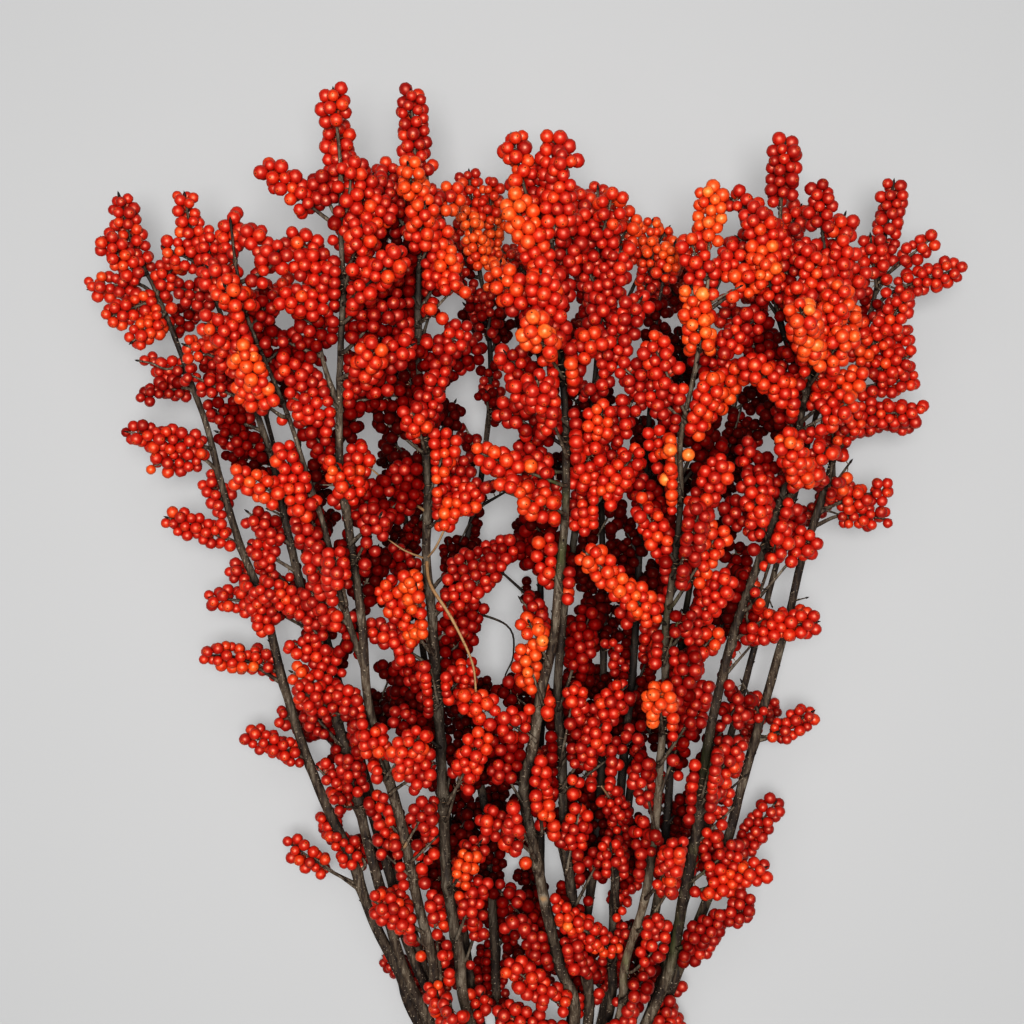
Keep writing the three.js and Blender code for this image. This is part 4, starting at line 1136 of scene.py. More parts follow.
def off_shown_stems(middles, held_at):
    """How far, in X, each berry has to move to leave the stems that show, and how deep it is in."""
    seen, held = to_plan(middles), to_plan(held_at)
    wide = sizes * plan_scale(middles[:, 2])
    shift, depth = np.zeros(len(middles)), np.zeros(len(middles))
    for low, high, spots, height, thick in strips:
        y = seen[:, 1]
        x = np.interp(y, spots[:, 1], spots[:, 0])
        above = middles[:, 2] > np.interp(y, spots[:, 1], height)
        room = np.interp(y, spots[:, 1], thick) + wide
        off = seen[:, 0] - x
        own_side = np.sign(held[:, 0] - x + SLIGHT)
        side = np.where(np.abs(off) > room * CLEAR_SIDE, np.sign(off), own_side)
        short = np.where(above & (y > low) & (y < high), room - off * side, 0)
        worse = short > depth
        depth = np.where(worse, short, depth)
        shift = np.where(worse, side * short, shift)
    return shift, depth


strips = strip_field()
# Gaps in the bunch in the plan: x, y, the two half widths and the height down to which
# no berry hangs. A gap of height 0 goes right through.
WINDOWS = [
    (-10, 104, 9.1, 19.6, 0), (-21, 67, 13.3, 25.2, 0), (175, 106, 14.7, 18.2, 0),
    (155, 47, 16.1, 18.9, 0), (-18, 161, 14, 14, 0), (-44, 148, 6.3, 8.4, 0),
    (-48, 242, 9.8, 9.1, 0), (-36, 223, 7.7, 13.3, 0), (-52, 304, 10.5, 7, 0),
    (-67, 288, 8.4, 8.4, 0), (-17, 211, 11.2, 8.4, 0), (-122, -59, 7.7, 10.5, 0),
    (-165, 76, 11.2, 8.4, 0), (-169, 123, 7.7, 11.2, 0), (129, 48, 6.3, 9.8, 0),
    (-196, 335, 7, 9.1, 0), (-198, 162, 8.4, 9.1, 0), (-175, 214, 7, 8.4, 0), (194, 169, 9.8, 7, 0),
    (-144, -7, 9.1, 7, 0), (145, 360, 5.6, 9.8, 0), (-20, -147, 4.2, 10.5, 0),
    (122, -100, 6.3, 7.7, 0), (-170, 291, 7, 7, 0), (18, -191, 4.9, 8.4, 0),
    (202, 223, 6.3, 7.7, 0), (-127, -96, 7, 6.3, 0), (137, 315, 5.6, 6.3, 0),
    (-96, 58, 4.9, 6.3, 0), (-102, 37, 5.6, 5.6, 0), (172, 300, 4.2, 7, 0),
    (-139, 368, 4.2, 5.6, 0), (133, 302, 4.2, 5.6, 0), (-86, 206, 7, 3.5, 0),
    (-111, 223, 4.9, 5.6, 0), (143, 4, 7.7, 3.5, 0), (-110, -96, 3.5, 8.4, 0),
    (116, -121, 3.5, 5.6, 0), (-72, -168, 3.5, 6.3, 0), (168, 7, 3.5, 4.2, 0),
    (-178, 323, 7.7, 3.5, 0), (136, -118, 6.3, 3.5, 0), (240, 249, 4.2, 3.5, 0),
    (-211, 187, 3.5, 5.6, 0), (6, 266, 3.5, 4.2, 0), (-71, 59, 3.5, 5.6, 0), (-2, -80, 2.8, 4.9, 0),
    (-106, 138, 3.5, 5.6, 0), (-54, 362, 3.5, 4.2, 0), (168, 206, 2.8, 6.3, 0),
    (66, 142, 4.2, 4.9, 0), (52, 141, 2.8, 6.3, 0), (216, 188, 9.8, 7, 0), (115, -5, 2.8, 4.2, 0),
    (231, 193, 6.3, 16.8, 0), (253, 209, 15.4, 5.6, 0), (-48, -42, 4.2, 19.6, 50),
    (-58, 16, 3.5, 14, 50), (-127, 94, 7, 8.4, 50), (-134, 69, 7, 7, 50), (-102, 28, 5.6, 7, 50),
    (-76, 60, 4.2, 7, 50), (-1, 27, 6.3, 6.3, 50), (12, -71, 5.6, 7, 50), (-32, -155, 6.3, 14, 50),
    (-8, -144, 6.3, 11.2, 50), (22, -91, 5.6, 10.5, 50), (-99, -92, 6.3, 9.1, 50),
    (19, -82, 5.6, 9.8, 50), (46, -106, 10.5, 7.7, 50), (99, -118, 7, 7.7, 50),
    (85, 0, 3.5, 9.1, 50), (94, -10, 7.7, 9.1, 50), (55, 55, 3.5, 8.4, 50), (109, 95, 8.4, 9.8, 50),
    (108, 65, 5.6, 3.5, 50), (-43, -148, 6.3, 11.9, 50), (-31, -168, 7.7, 14, 50),
    (-74, -136, 4.9, 16.8, 50), (-11, -148, 6.3, 7, 50), (-49, -186, 4.9, 11.2, 50),
    (36, -173, 4.2, 8.4, 50), (59, -161, 5.6, 5.6, 50), (76, -160, 4.9, 11.2, 50),
    (57, -192, 11.2, 7, 50), (-8, -36, 6.3, 4.9, 50), (-85, -36, 4.9, 4.9, 50),
    (-99, -29, 3.5, 10.5, 50), (69, -14, 7.7, 3.5, 50), (41, -26, 3.5, 5.6, 50),
    (83, -52, 5.6, 3.5, 50), (-118, 141, 3.5, 9.1, 50), (-80, 203, 4.2, 6.3, 50),
    (21, 196, 3.5, 21, 50), (46, 255, 5.6, 9.1, 50), (108, 251, 7.7, 4.9, 50),
    (112, 183, 5.6, 15.4, 50), (-176, 228, 6.3, 4.9, 50), (-267, 318, 4.9, 6.3, 50),
    (245, 317, 7.7, 4.2, 50), (55, -108, 5.6, 11.2, 50), (66, -108, 5.6, 12.6, 50),
    (92, -117, 6.3, 7.7, 50), (116, -188, 10.5, 14, 0), (35, 395, 6.3, 6.3, 0),
    (-62, 392, 4.9, 6.3, 0), (-253, 269, 6.3, 3.5, 0), (-254, 235, 7.7, 3.5, 0),
]
WINDOW_RIM = 0.75  # of a berry's radius that stays out of a window
OPEN_WINDOW = 0.8  # a berry nearer a window's middle than this, of its reach, is dropped
NEAREST = 0.15  # of a window's reach, from which berries at its middle are pushed
FAR = 9.0  # of a window's reach, for a berry that is under it


def out_of_windows(middles):
    """How far, in the plan, each berry has to move to leave the windows, and how near it stays."""
    seen = to_plan(middles)
    wide = sizes * plan_scale(middles[:, 2]) * WINDOW_RIM
    shift, nearest = np.zeros((len(middles), 2)), np.full(len(middles), FAR)
    for x, y, rx, ry, floor in WINDOWS:
        off = seen - vec(x, y)
        reach = np.stack([rx + wide, ry + wide], axis=1)
        near = length(off / reach)
        push = off * (1 / np.maximum(near, NEAREST) - 1)[:, None]
        near = np.where(middles[:, 2] > floor, near, FAR)
        shift = np.where((near < 1)[:, None], push, shift)
        nearest = np.minimum(nearest, near)
    return shift, nearest


def settled(centres):
    """Pushes berries apart, off the wood and up from the floor, each held near its stalk.

    Returns where they end, the pairs last listed as near, and all radii. In these a number
    past the last berry stands for a ball of wood.
    """
    count = len(centres)
    radii = np.concatenate([sizes, ball_radii])
    held = sizes + TWIG_SKIN + PEDICEL
    for step in range(ROUNDS):
        every = np.vstack([centres, balls])
        if step % ROUNDS_A_LIST == 0:
            a, b = near_pairs(every, REACH)
            keep = a < count
            a, b = np.where(keep, a, b), np.where(keep, b, a)
            keep = a < count
            a, b = a[keep], b[keep]
        gap = every[a] - every[b]
        far = length(gap)
        soft = b < count
        want = np.where(soft, (radii[a] + radii[b]) * TOUCH, radii[a] + radii[b])
        push = np.maximum(want - far, 0) / np.maximum(far, SLIGHT)
        move = gap * push[:, None]
        move_a = move * np.where(soft, 0.5, 1.0)[:, None]
        shift = np.zeros((count, 3))
        for axis in range(3):
            shift[:, axis] += np.bincount(a, move_a[:, axis], count)
            shift[:, axis] -= np.bincount(b[soft], 0.5 * move[soft, axis], count)
        hits = np.bincount(a, push > 0, count) + np.bincount(b[soft], push[soft] > 0, count)
        centres = centres + shift / np.maximum(hits * 0.5, 1)[:, None]
        away = centres - anchors
        reach = length(away)
        pull = np.maximum(reach - held, 0) / np.maximum(reach, SLIGHT)
        centres = centres - away * (pull * STALK_PULL)[:, None]
        shift, _ = off_shown_stems(centres, anchors)
        centres[:, 0] += shift * STEM_PUSH
        shift, _ = out_of_windows(centres)
        centres[:, :2] += shift * WINDOW_PUSH
        centres[:, 2] = np.maximum(centres[:, 2], sizes)
    return centres, a, b, radii


def thinned(a, b, radii):
    """Which berries stay: those that sink into others or into wood go, worst first."""
    count = len(centres)
    every = np.vstack([centres, balls])
    share = length(every[a] - every[b]) / (radii[a] + radii[b])
    keep = np.ones(count, dtype=bool)
    for i in np.argsort(share):
        if share[i] > WORST_OVERLAP:
            break
        first, second = a[i], b[i]
        if not keep[first] or (second < count and not keep[second]):
            continue
        if second >= count and share[i] > WOOD_OVERLAP:
            continue
        keep[first] = False
    _, depth = off_shown_stems(centres, anchors)
    _, near = out_of_windows(centres)
    return keep & (depth < sizes * LEFT_ON_STEM) & (near > OPEN_WINDOW)


balls, ball_radii = wood_balls()
centres, near_a, near_b, all_radii = settled(centres)
kept = thinned(near_a, near_b, all_radii)

# A twig that has lost most of its berries is left out.
FEWEST_LEFT = 0.3
for owner, made in enumerate(twigs):
    for number, (line, start, hue, own) in enumerate(made):
        mine = (owners == owner) & (twig_of == number)
        if own and kept[mine].sum() < mine.sum() * FEWEST_LEFT:
            kept = kept & ~mine
            made[number] = (line, start, hue, False)

# ---- meshes -------------------------------------------------------------------------


class Piece:
    """A mesh in the making: its points, its faces, and the values that its material reads."""

    def __init__(self):
        self.points, self.faces, self.values, self.count = [], [], [], 0

    def add(self, points, faces, **values):
        """Faces count from the first of these points. A value is one row, or a row a point."""
        self.points.append(points)
        for corners in faces:
            self.faces.append(np.asarray(corners) + self.count)
        self.values.append(
            {name: np.broadcast_to(value, (len(points), 3)) for name, value in values.items()}
        )
        self.count += len(points)

    def build(self, name, material, node, slot):
        """Writes the mesh as an object that stands for a node of the solids."""
        mesh = bpy.data.meshes.new(name)
        corners = [row for block in self.faces for row in block.tolist()]
        mesh.from_pydata((np.vstack(self.points) * MM).tolist(), [], corners)
        for key in self.values[0]:
            layer = mesh.attributes.new(key, "FLOAT_VECTOR", "POINT")
            layer.data.foreach_set("vector", np.vstack([v[key] for v in self.values]).ravel())
        mesh.materials.append(material)
        mesh.shade_smooth()
        piece = bpy.data.objects.new(name, mesh)
        bpy.context.collection.objects.link(piece)
        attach(piece, "root")
        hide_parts(node)
        return piece


def copies(points, faces, middles, turns, sizes):
    """One shape copied to many places, each with its own turn and size."""
    count, each = len(middles), len(points)
    placed = np.einsum("nij,pj->npi", turns * sizes[:, None, None], points) + middles[:, None]
    starts = (np.arange(count) * each)[:, None, None]
    blocks = []
    for corners in sorted({len(face) for face in faces}):
        block = np.array([face for face in faces if len(face) == corners])
        blocks.append((block[None] + starts).reshape(-1, corners))
    return placed.reshape(-1, 3), blocks


UPRIGHT = 0.9  # a direction that climbs by more than this share of its length


def frames_to(heads, spins):
    """Turns whose third axis points along `heads`, each spun about it."""
    other = np.where(np.abs(heads[:, 2:]) < UPRIGHT, [[0.0, 0.0, 1.0]], [[1.0, 0.0, 0.0]])
    first = unit(np.cross(other, heads))
    second = np.cross(heads, first)
    c, s = np.cos(spins)[:, None], np.sin(spins)[:, None]
    return np.stack([first * c + second * s, second * c - first * s, heads], axis=2)


def carried_frames(line):
    """A side and an up direction at each point of a line, carried along without twist."""
    ahead = unit(np.gradient(line, axis=0))
    _, side, _ = across(line[0], line[1])
    sides = []
    for heading in ahead:
        side = unit(side - heading * (side @ heading))
        sides.append(side)
    sides = np.array(sides)
    return sides, np.cross(sides, ahead)


def turns_round(sides):
    return np.arange(sides) * 2 * math.pi / sides


def rings_round(line, sides):
    """Directions square to a line at each of its points, all round."""
    side, up = carried_frames(line)
    turn = turns_round(sides)
    return side[:, None] * np.cos(turn)[:, None] + up[:, None] * np.sin(turn)[:, None]


def tube(line, radii, sides):
    """A closed tube round a line. `radii` has a number a ring, or a row with one for each side."""
    radii = np.broadcast_to(np.reshape(radii, (len(line), -1)), (len(line), sides))
    out = rings_round(line, sides)
    points = (line[:, None] + out * radii[..., None]).reshape(-1, 3)
    rows = np.arange((len(line) - 1) * sides)
    nexts = rows - rows % sides + (rows + 1) % sides
    walls = np.stack([rows, nexts, nexts + sides, rows + sides], axis=1)
    first = np.arange(sides)[::-1][None]
    last = (len(points) - sides + np.arange(sides))[None]
    return points, [walls, first, last]


# ---- berries' own shape -------------------------------------------------------------
DIMPLE = 0.1  # how deep the old flower's scar sits, of the radius
STALK_DRAW = 0.06  # how far the stalk's end is drawn out
POLE = 0.99  # a round shape's point at either end lies past this, of its radius
FINE_BERRY = (10, 6)  # segments and rings where the berry shows
PLAIN_BERRY = (8, 4)  # and deep in the bunch
BUD_RADIUS = 0.5
BUD_POINT = 1.1  # how far a bud's end is drawn out
BUD_SHOULDER = 0.4  # and the ring below it
STALK_SIDES = 3
STALK_RADIUS = 0.5


def round_shape(segments, rings, radius, moves):
    """A ball, with the points between each two heights then moved along Z."""
    bpy.ops.object.select_all(action="DESELECT")
    bpy.ops.mesh.primitive_uv_sphere_add(segments=segments, ring_count=rings, radius=radius)
    shape = bpy.context.object
    for low, high, step in moves:
        bpy.ops.object.mode_set(mode="EDIT")
        bpy.ops.mesh.select_all(action="DESELECT")
        bpy.ops.object.mode_set(mode="OBJECT")
        for point in shape.data.vertices:
            point.select = low < point.co.z < high
        bpy.ops.object.mode_set(mode="EDIT")
        bpy.ops.transform.translate(value=(0, 0, step))
        bpy.ops.object.mode_set(mode="OBJECT")
    points = np.array([point.co[:] for point in shape.data.vertices])
    faces = [tuple(face.vertices) for face in shape.data.polygons]
    bpy.data.objects.remove(shape)
    return points, faces


def berry_shape(segments, rings):
    """A berry of radius one, its stalk at -Z and the old flower's scar sunk in at +Z."""
    moves = [(POLE, math.inf, -DIMPLE), (-math.inf, -POLE, -STALK_DRAW)]
    return round_shape(segments, rings, 1, moves)


def bud_shape(sides):
    """A pointed winter bud, one wide and sunk to its widest at the origin."""
    top = BUD_RADIUS * POLE
    moves = [(top, math.inf, BUD_POINT), (0.6 * BUD_RADIUS, top, BUD_SHOULDER)]
    return round_shape(sides, 4, BUD_RADIUS, moves)


def stalk_shape():
    """A stalk one unit long along +Z and one wide, closed to a point at both ends."""
    turn = turns_round(STALK_SIDES)
    ring = np.stack([np.cos(turn), np.sin(turn), np.full(STALK_SIDES, 0.5)], axis=1)
    faces = []
    for i in range(STALK_SIDES):
        faces.append((STALK_SIDES, (i + 1) % STALK_SIDES, i))
    for i in range(STALK_SIDES):
        faces.append((STALK_SIDES + 1, i, (i + 1) % STALK_SIDES))
    return np.vstack([ring, [[0, 0, 0], [0, 0, 1]]]), faces


# ---- berries' tone and painted shade ------------------------------------------------
SKIN_SCALE = 1.02  # makes up for the flat faces of a round skin
TURN_SPREAD = 1.2  # mm by which a berry's stalk may point past its foot
HUE_SPREAD = 0.13
LOOK_CELL = 12.0  # width of the columns through which the bunch is looked into
SHOWN_RIM = 9.0  # a berry no deeper than this in its column shows
DEEPEST = 80.0  # and all depths past this are alike
SHADE_DEPTH = (5.0, 46.0)  # painted shade: berries are painted a darker red from the first of these depths on
SHADE_LOSS = 0.95  # and at the second their tone is this much darker

# Where the fruit is painted lighter or darker, partly its own tone, partly painted shade: x, y, reach,
# change of tone.
RIPENESS_AND_SHADE_SPOTS = (
    (-32, 360, 29, 0.6), (80, 360, 42, 0.25), (-256, 360, 40, 0.15), (-158, 412, 60, 0.1),
    (-32, 335, 32, 0.2), (-118, 270, 28, -0.35), (94, 261, 40, -0.6), (-127, 223, 50, -0.4),
    (-78, 181, 32, -0.55), (-78, 222, 28, -0.3), (94, 228, 34, -0.35), (45, 315, 45, -0.15),
    (73, 181, 42, -0.35), (234, 181, 28, 0.25), (-130, 135, 36, -0.3), (-32, 135, 26, -0.45),
    (78, 137, 40, -0.6), (-81, 90, 42, -0.5), (101, 90, 30, -0.45), (185, 93, 28, 0.2),
    (-211, 46, 30, 0.2), (59, 46, 24, 0.2), (129, 48, 30, -0.35), (-123, 2, 26, -0.5),
    (13, 2, 26, -0.8), (101, 2, 26, -0.6), (-53, -43, 40, -0.25), (-10, -43, 34, -0.25),
    (59, -43, 26, 0.3), (-165, -80, 30, 0.2), (-78, -89, 28, -0.4), (30, -100, 34, -0.2),
    (102, -178, 26, -0.5),
)
UNDARKENED_HUE = 0.8  # fruit as orange as this is not darkened
LIGHTENED_HUE_CAP = 0.62  # and none is made more orange than this


def column_faces():
    """How far out the berries reach in each column, from both sides of each axis."""
    made = []
    for axis in range(3):
        flat = np.delete(centres[kept], axis, axis=1)
        low = flat.min(0)
        spots = np.floor((flat - low) / LOOK_CELL).astype(int)
        size = spots.max(0) + 1
        for sign in (1, -1):
            face = np.full(size, -np.inf)
            np.maximum.at(face, (spots[:, 0], spots[:, 1]), sign * centres[kept][:, axis])
            made.append((axis, sign, low, size, face))
    return made


faces_of_columns = column_faces()


def depth_inside(points, from_below=True, reach=0):
    """How deep each point lies, seen from whichever side it is nearest to.

    With a reach it is the mean depth below its own column and those so many columns round it.
    """
    depth = np.full(len(points), np.inf)
    steps = range(-reach, reach + 1)
    for axis, sign, low, size, face in faces_of_columns:
        if axis == 2 and sign == -1 and not from_below:
            continue
        flat = np.delete(points, axis, axis=1)
        spots = np.clip(np.floor((flat - low) / LOOK_CELL).astype(int), 0, size - 1)
        cells = [np.clip(spots + [i, j], 0, size - 1) for i in steps for j in steps]
        over = [face[cell[:, 0], cell[:, 1]] - sign * points[:, axis] for cell in cells]
        depth = np.minimum(depth, np.clip(over, 0, DEEPEST).mean(axis=0))
    return depth


def shade_of(points):
    """Painted shade, from 0 outside to 1 deep inside, where little light reaches as the bunch lies."""
    depth = depth_inside(points, from_below=False, reach=1)
    return np.clip((depth - SHADE_DEPTH[0]) / (SHADE_DEPTH[1] - SHADE_DEPTH[0]), 0, 1)


shown = depth_inside(centres) < SHOWN_RIM
# painted shade: how much darker each berry is painted for lying deep in the bunch
painted_depth_shade = shade_of(centres)


def ripeness_and_painted_shade(places, hues_there):
    """How much lighter or darker the fruit is painted at each place: own tone and painted shade."""
    change = np.zeros(len(places))
    darkenable = np.clip(1 - hues_there / UNDARKENED_HUE, 0, 1)
    for x, y, reach, step in RIPENESS_AND_SHADE_SPOTS:
        near = np.exp(-((places[:, 0] - x) ** 2 + (places[:, 1] - y) ** 2) / reach**2)
        change += step * near * (darkenable if step < 0 else 1)
    return change


def berries_of(owner, fine, plain):
    """All berries of one branch as one piece: round skins, each with its own tone and painted shade."""
    piece = Piece()
    for shape, chosen in ((fine, shown), (plain, ~shown)):
        mine = kept & (owners == owner) & chosen
        if not mine.any():
            continue
        count = mine.sum()
        aside = random.normal(0, TURN_SPREAD, (count, 3))
        out = unit(centres[mine] - anchors[mine] + aside)
        turns = frames_to(out, random.uniform(0, 2 * math.pi, count))
        points, faces = copies(*shape, centres[mine], turns, sizes[mine] * SKIN_SCALE)
        skin = np.tile(shape[0], (count, 1))
        # The hue is lowered by painted shade where the berry lies deep.
        hue = hues[mine] + random.normal(0, HUE_SPREAD, count) - SHADE_LOSS * painted_depth_shade[mine]
        # Patches of own tone and of painted shade, lighter or darker.
        lift = ripeness_and_painted_shade(centres[mine], hues[mine])
        hue = np.where(lift > 0, np.minimum(hue + lift, np.maximum(hue, LIGHTENED_HUE_CAP)), hue + lift)
        hue = np.clip(hue, -1, 1)
        tone = np.stack([hue, *random.uniform(0, 1, (2, count))], axis=1)
        piece.add(points, faces, skin=skin, tone=np.repeat(tone, len(shape[0]), axis=0))
    return piece


# ---- wood ---------------------------------------------------------------------------
STEM_SIDES = 10
ARM_SIDES = 8
TWIG_SIDES = 5
BARE_SIDES = 5
GNARL = 0.045  # how uneven a limb's radius is
COLLAR_REACH = 5.0
COLLAR_HEIGHT = 0.32  # of the limb's radius, towards the twig that grows there
COLLAR_ROUND = 0.35  # the share of that height which it has all round the limb
BARK_RIM = 0.84  # of the cut end, inside which the wood is bare
CUT_SUNK, CUT_PROUD = 0.8, 0.12  # how far the bare wood goes in and stands out
TWIG_FOOT = 1.9  # radius of a berry twig where it grows out
TWIG_END = 0.75
TWIG_TAPER = 0.6
TWIG_PALE = 0.35  # berry twigs are up to this pale
BUD_LENGTH = 2.1
TIP_BUD = (1.2, 2.6)  # a limb's last bud: of a bud's length, and of the limb's radius
TWIG_BUD = 1.3  # and a berry twig's: of its width
BARE_TAPER = (1.25, 0.6)  # a bare twig's radius at its foot and its end, of its own
BARE_GNARL = 0.12
BARE_BUD = (1.6, 1.7)  # and its last bud, of its radius
NODE_STEP = 26.0
NODE_BUD = (1.5, 1.7)  # half the length and the width of a bud on a stem
NODE_START = 0.12  # the share of a limb that has no such buds
NODE_END = 6.0
NODE_PLAY = 6.0
NODE_ROOM = 7.0  # they keep this far from a twig's foot
NODE_SINK = 0.8  # and sit this far out, of the limb's radius
NODE_LEAN = 1.1  # along the limb, for each 1 straight out
STALK_FOOT = 0.9  # how far out a stalk starts in its berry, of the berry's radius
STALK_LEAST = 0.98  # and it is left out if it would end nearer than this
STALK_PALE = 0.6

# Patches of green algae and of bare tan wood on the stems in the plan: x, y, reach, kind.
PATCHES = (
    (97, 86, 18, "algae"), (116, -94, 18, "algae"), (105, -138, 17, "algae"),
    (69, -161, 11, "algae"), (18, 176, 15, "algae"), (27, 268, 14, "algae"),
    (80, -78, 10, "algae"), (122, -15, 14, "algae"), (24, 125, 11, "algae"),
    (57, -33, 10, "bare"), (12, -113, 4, "bare"), (-86, -75, 4, "bare"),
)


def smooth_noise(rings, sides, blend=3):
    """Uneven numbers round zero that change slowly along a limb."""
    rough = random.normal(0, 1, (rings + 2 * blend, sides))
    weights = np.ones(2 * blend + 1) / math.sqrt(2 * blend + 1)
    return np.stack([np.convolve(column, weights, "valid") for column in rough.T], axis=1)


def collared(line, radii, sides, knots):
    """A limb's radii, ring by ring and side by side, swollen where a twig grows out."""
    out = rings_round(line, sides)
    made = radii[:, None] * (1 + GNARL * smooth_noise(len(line), sides))
    for point, heading in knots:
        near = np.exp(-((length(line - point) / COLLAR_REACH) ** 2))
        lean = np.clip(COLLAR_ROUND + (1 - COLLAR_ROUND) * (out @ heading), 0, 1)
        made += COLLAR_HEIGHT * radii[:, None] * near[:, None] * lean
    return made


def bark_value(points, tan):
    """What the bark's material reads: how much algae, how pale, and how much painted shade."""
    seen = to_plan(points)
    green, bare = np.zeros(len(points)), np.full(len(points), float(tan))
    for x, y, reach, kind in PATCHES:
        near = np.exp(-((length(seen - vec(x, y)) / reach) ** 2))
        if kind == "algae":
            green = np.maximum(green, near)
        else:
            bare = np.maximum(bare, near)
    return np.stack([green, bare, -shade_of(points)], axis=1)


def cut_end(piece, line, radii):
    """Bare pale wood inside the bark on a stem's cut end."""
    out = unit(line[0] - line[1])
    ring = rings_round(line[:2], STEM_SIDES)[0]
    rim = line[0] + ring * (radii[0] * BARK_RIM)[:, None]
    points = np.vstack([rim - out * CUT_SUNK, rim + out * CUT_PROUD])
    i = np.arange(STEM_SIDES)
    j = (i + 1) % STEM_SIDES
    walls = np.stack([j, i, i + STEM_SIDES, j + STEM_SIDES], axis=1)
    lid = (i + STEM_SIDES)[::-1][None]
    piece.add(points, [walls, lid, i[None]], bark=vec(0, 0, 1))


def stem_buds(line, radii, roots):
    """Places for the small resting buds between the twigs, turned from node to node."""
    lengths = along_of(line)
    side, up = carried_frames(line)
    ahead = unit(np.gradient(line, axis=0))
    spots = []
    aways = np.arange(lengths[-1] * NODE_START, lengths[-1] - NODE_END, NODE_STEP)
    for number, away in enumerate(aways):
        i = int(np.searchsorted(lengths, away + random.uniform(-NODE_PLAY, NODE_PLAY)))
        i = min(max(i, 1), len(line) - 2)
        if len(roots) and length(roots - line[i]).min() < NODE_ROOM:
            continue
        turn = number * GOLDEN_TURN
        out = side[i] * math.cos(turn) + up[i] * math.sin(turn)
        spot = line[i] + out * radii[i].mean() * NODE_SINK
        spots.append((spot, unit(out + ahead[i] * NODE_LEAN)))
    return spots


def wood_of(owner, branch, bud):
    """A branch's stem, arms, twigs, stalks and buds."""
    piece = Piece()
    grown = [line for line, _, _, own in twigs[owner] if own]
    feet = np.array([line[0] for line in grown])
    heads = np.array([unit(line[1] - line[0]) for line in grown])
    buds = []

    def bud_at_end(line, long, wide):
        buds.append((line[-1], unit(line[-1] - line[-2]), long, wide))

    for i, (line, radii) in enumerate(lines[owner]):
        sides = STEM_SIDES if i == 0 else ARM_SIDES
        knots = [(f, h) for f, h in zip(feet, heads) if length(line - f).min() < COLLAR_REACH]
        made = collared(line, radii, sides, knots)
        points, faces = tube(line, made, sides)
        piece.add(points, faces, bark=bark_value(points, branch["pale"]))
        if i == 0:
            cut_end(piece, line, made)
        buds += [(spot, head, *NODE_BUD) for spot, head in stem_buds(line, made, feet)]
        bud_at_end(line, BUD_LENGTH * TIP_BUD[0], radii[-1] * TIP_BUD[1])
    for line in grown:
        share = np.linspace(0, 1, len(line))
        radii = lerp(TWIG_FOOT, TWIG_END, share**TWIG_TAPER)
        points, faces = tube(line, radii, TWIG_SIDES)
        piece.add(points, faces, bark=bark_value(points, random.uniform(0, TWIG_PALE)))
        bud_at_end(line, BUD_LENGTH, 2 * TWIG_END * TWIG_BUD)
    for radius, tan, plan in branch["bare"]:
        line = bare_line(owner, plan)
        thick, thin = radius * BARE_TAPER[0], radius * BARE_TAPER[1]
        radii = lerp(thick, thin, np.linspace(0, 1, len(line)))
        radii = radii * (1 + BARE_GNARL * smooth_noise(len(line), 1)[:, 0])
        points, faces = tube(line, radii, BARE_SIDES)
        piece.add(points, faces, bark=bark_value(points, tan))
        bud_at_end(line, radius * BARE_BUD[0], radius * BARE_BUD[1])
    middles, ahead, long, wide = map(np.array, zip(*buds))
    turns = frames_to(ahead, random.uniform(0, 6, len(middles)))
    turns = turns * np.stack([wide, wide, long], axis=1)[:, None]
    points, faces = copies(*bud, middles, turns, np.ones(len(middles)))
    piece.add(points, faces, bark=vec(0, -1, 0))
    stalks(piece, owner)
    return piece


def bare_line(owner, plan):
    """A bare twig: from its limb through places in the plan, each with a lift above the limb."""
    flat = vec(*plan[0][:2])
    limbs_here = [line for line, _ in lines[owner]]
    line = min(limbs_here, key=lambda line: length(to_plan(line) - flat).min())
    foot = line[np.argmin(length(to_plan(line) - flat))]
    spots = [foot] + [from_plan(x, y, foot[2] + lift) for x, y, lift in plan[1:]]
    return catmull(spots, 4.0)


def stalks(piece, owner):
    """The berries' stalks, from the twig to the berry."""
    mine = kept & (owners == owner)
    out = anchors[mine] - centres[mine]
    reach = length(out)
    far = reach > sizes[mine] * STALK_LEAST
    out, reach = out[far], reach[far]
    starts = centres[mine][far] + out / reach[:, None] * sizes[mine][far, None] * STALK_FOOT
    long = reach - sizes[mine][far] * STALK_FOOT
    turns = frames_to(out / reach[:, None], random.uniform(0, 2, len(out)))
    wide = np.full(len(out), STALK_RADIUS)
    scale = np.stack([wide, wide, long], axis=1)
    turns = turns * scale[:, None]
    points, faces = copies(*stalk_shape(), starts, turns, np.ones(len(out)))
    piece.add(points, faces, bark=vec(0, STALK_PALE, 0))


# ---- twine --------------------------------------------------------------------------
TWINE_RADIUS = 1.15
TWINE_WRAPS = 7
TWINE_STEP = 1.6  # between the rings of its mesh
PLY_PITCH = 7.0
PLY_SIDES = 9
PLIES = 3
PLY_DEPTH = 0.2
HULL_SPOTS = 20  # along each corner and flat of the hexagon
KNOT_SIZE = 2.1
KNOT_LIFT = 3.2  # its middle over the stems, in radii of the twine
KNOT_RISE = 1.15  # how far its loops go over and under, in the same
KNOT_TURN = (0.35, 2 * math.pi + 0.15)  # where round its own loop the knot starts and ends
KNOT_POINTS = 44
# The twine's two ends from the tie's middle: aside, along the bunch, over the wraps.
FIRST_END = ((30, -16, -2), (20, -13, 0))
LAST_END = ((-22, -9, 0), (-31, -22, -3))


def hull_route(reach):
    """Once round the six-sided bundle of stems, `reach` out from the outer stems' middles."""
    spots = []
    for corner in range(6):
        angle = -corner * math.pi / 3
        middle = vec(math.cos(angle), math.sin(angle)) * 2 * STEM_PITCH
        for step in range(HULL_SPOTS):
            turn = angle + math.pi / 6 - step / HULL_SPOTS * math.pi / 3
            spots.append(middle + vec(math.cos(turn), math.sin(turn)) * reach)
    return np.array(spots)


